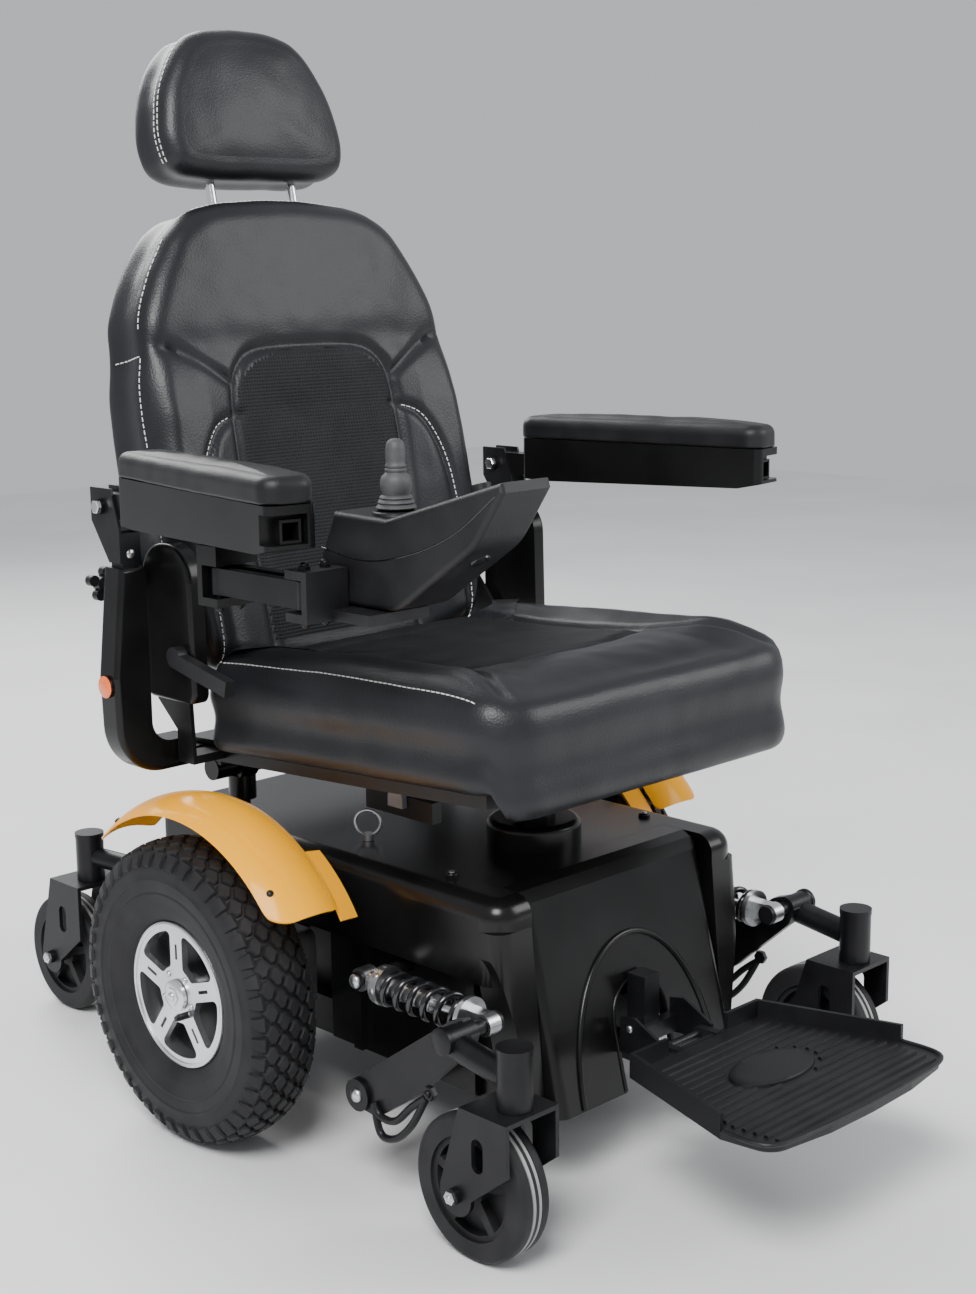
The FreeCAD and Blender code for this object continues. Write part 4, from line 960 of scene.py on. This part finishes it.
POD_SIDES = (-0.238, -0.306)
PANEL_TILT = math.radians(16.5)
PANEL_EDGE = (-0.3266, 0.744)
LAMPS, LAMP_PITCH, LAMP_Y = 5, 0.008, -0.350
LAMP_HALF = (0.0028, 0.0020)


def on_panel(x, y, along, height):
    """A place above the pod's sloping face, found from its upper edge."""
    rise = PANEL_EDGE[1] + (PANEL_EDGE[0] - y) * math.tan(PANEL_TILT)
    return at(x, y + along * math.cos(PANEL_TILT) + height * math.sin(PANEL_TILT),
              rise - along * math.sin(PANEL_TILT) + height * math.cos(PANEL_TILT))


def pod_details():
    """The split line on both sides of the pod, the charger socket below and the row of lamps."""
    seam = Shape()
    knots = [(-0.231, 0.708), (-0.300, 0.701), (-0.370, 0.715), (-0.430, 0.741), (-0.482, 0.779)]
    line = curve_through(knots, 10)
    for x in POD_SIDES:
        seam.tube([at(x, y, z) for y, z in line], 0.0008, 8)
    seam.piece("pod_split_line", GLOSS, "joystick_pod", "cover_black")
    socket = Shape()
    spot = at(STICK[0], -0.425, 0.7115)
    down = Vector((0, -0.55, -0.83)).normalized()
    socket.turned([(0.0, 0.0095), (0.0020, 0.0105), (0.0036, 0.0100), (0.0036, 0.0070), (0.0, 0.0065)],
                  spot, down, 28, closed=True)
    socket.piece("charger_socket", GLOSS, "joystick_pod", "cover_black")
    lamps = Shape()
    wide, long = LAMP_HALF
    corners = ((-wide, -long), (wide, -long), (wide, long), (-wide, long))
    for k in range(LAMPS):
        x = STICK[0] + (k - LAMPS // 2) * LAMP_PITCH
        lamps.rings([[on_panel(x + dx, LAMP_Y, dy, height) for dx, dy in corners]
                     for height in (-0.0004, 0.0008)])
    lamps.piece("battery_lamps", AMBER, "joystick_pod", "cover_black")


LINK_PIN_X = (-0.350, -0.324)
LINK_UNDERSIDE = 0.641
CARRIER_TOP = 0.693


def link_fixings():
    """Nuts below the four pins of the swing links, and above the two that the pod turns on."""
    for name, body, y, top in (("bracket", "armrest_right", -0.117, None),
                               ("carrier", "joystick_pod", -0.257, CARRIER_TOP)):
        nuts = Shape()
        for x in LINK_PIN_X:
            hexagon(nuts, at(x, y, LINK_UNDERSIDE), (0, 0, -1), 0.0062, 0.004)
            dome(nuts, at(x, y, LINK_UNDERSIDE - 0.0038), (0, 0, -1), 0.0040, 0.004)
            if top:
                hexagon(nuts, at(x, y, top), (0, 0, 1), 0.0062, 0.004)
                dome(nuts, at(x, y, top + 0.0038), (0, 0, 1), 0.0045, 0.004)
        nuts.piece("swing_link_nuts_" + name, PAINT, body, "frame_black")


ARM_POST_X = 0.314
ARM_PIVOT_UP = (0.130, 0.7227)


def arm_fixings():
    """The bolt heads of the flip-up pivots and a screw in each height post."""
    for side, sign in SIDES:
        bolts = Shape()
        for out in (-1, 1):
            spot = at(sign * ARM_POST_X + out * 0.019, *ARM_PIVOT_UP)
            hexagon(bolts, spot, (out, 0, 0), 0.0080, 0.004)
        bolts.piece("arm_pivot_bolts_" + side, ZINC, "armrest_post_" + side, "zinc")
        screw = Shape()
        dome(screw, at(sign * ARM_POST_X, 0.096, 0.670), (0, -1, 0), 0.0055, 0.0025)
        screw.piece("arm_post_screw_" + side, ZINC, "armrest_post_" + side, "zinc")


caster_strips()
springs()
suspension_fixings()
wheel_details()
arch_lip()
seat_release()
cover_fixings()
footplate_details()
joystick()
pod_details()
link_fixings()
arm_fixings()


# ---- light, floor and camera --------------------------------------------------------------------
FLOOR_REACH = 6.0
SKY_COLOUR, SKY_STRENGTH = (0.93, 0.95, 1.0, 1), 0.62
LAMPS_AT = (("key", (-2.4, -1.6, 3.2), 1.6, 190),
            ("fill", (2.6, -2.8, 2.4), 2.0, 80),
            ("rear", (0.6, 3.0, 2.8), 2.2, 120))
LAMPS_AIM = (0, 0, 0.55)


def stage():
    """A pale floor, an even world and three area lamps."""
    reach = FLOOR_REACH
    corners = [(-reach, -reach, 0), (reach, -reach, 0), (reach, reach, 0), (-reach, reach, 0)]
    mesh = bpy.data.meshes.new("floor")
    mesh.from_pydata(corners, [], [(0, 1, 2, 3)])
    mesh.materials.append(material("floor_pale", (0.80, 0.80, 0.80), (0.86, 0.86, 0.86), 0.65, 0.0, 2.0))
    plane = bpy.data.objects.new("floor", mesh)
    bpy.context.scene.collection.objects.link(plane)
    plane.location.z = cad_box[0][2] - 0.0005
    world = bpy.data.worlds.new("studio")
    world.use_nodes = True
    sky = world.node_tree.nodes["Background"]
    sky.inputs["Color"].default_value = SKY_COLOUR
    sky.inputs["Strength"].default_value = SKY_STRENGTH
    bpy.context.scene.world = world
    for name, spot, size, power in LAMPS_AT:
        lamp = bpy.data.lights.new(name, "AREA")
        lamp.size = size
        lamp.energy = power
        holder = bpy.data.objects.new(name, lamp)
        holder.location = spot
        aim = Vector(LAMPS_AIM) - Vector(spot)
        holder.rotation_euler = aim.to_track_quat("-Z", "Y").to_euler()
        bpy.context.scene.collection.objects.link(holder)


# the camera that was solved for the photo: yaw, pitch and roll in degrees, place in metres, lens in mm
CAMERA_TURN = (-44.613, 11.147, -0.621)
CAMERA_PLACE = (-1.5592, -1.6524, 0.9883)
CAMERA_LENS, CAMERA_SENSOR = 54.18, 36.0


def camera():
    """The view to the right of the chair's front."""
    yaw, pitch, roll = (math.radians(a) for a in CAMERA_TURN)
    back = Vector((math.sin(yaw) * math.cos(pitch), -math.cos(yaw) * math.cos(pitch), math.sin(pitch)))
    right = (-back).cross(Vector((0, 0, 1))).normalized()
    up = right.cross(-back)
    c, s = math.cos(roll), math.sin(roll)
    right, up = c * right + s * up, c * up - s * right
    turn = Matrix((right, up, back)).transposed().to_4x4()
    lens = bpy.data.cameras.new("view")
    lens.lens = CAMERA_LENS
    lens.sensor_width = CAMERA_SENSOR
    eye = bpy.data.objects.new("view", lens)
    eye.matrix_world = Matrix.Translation(Vector(CAMERA_PLACE)) @ turn
    bpy.context.scene.collection.objects.link(eye)
    bpy.context.scene.camera = eye


stage()
camera()
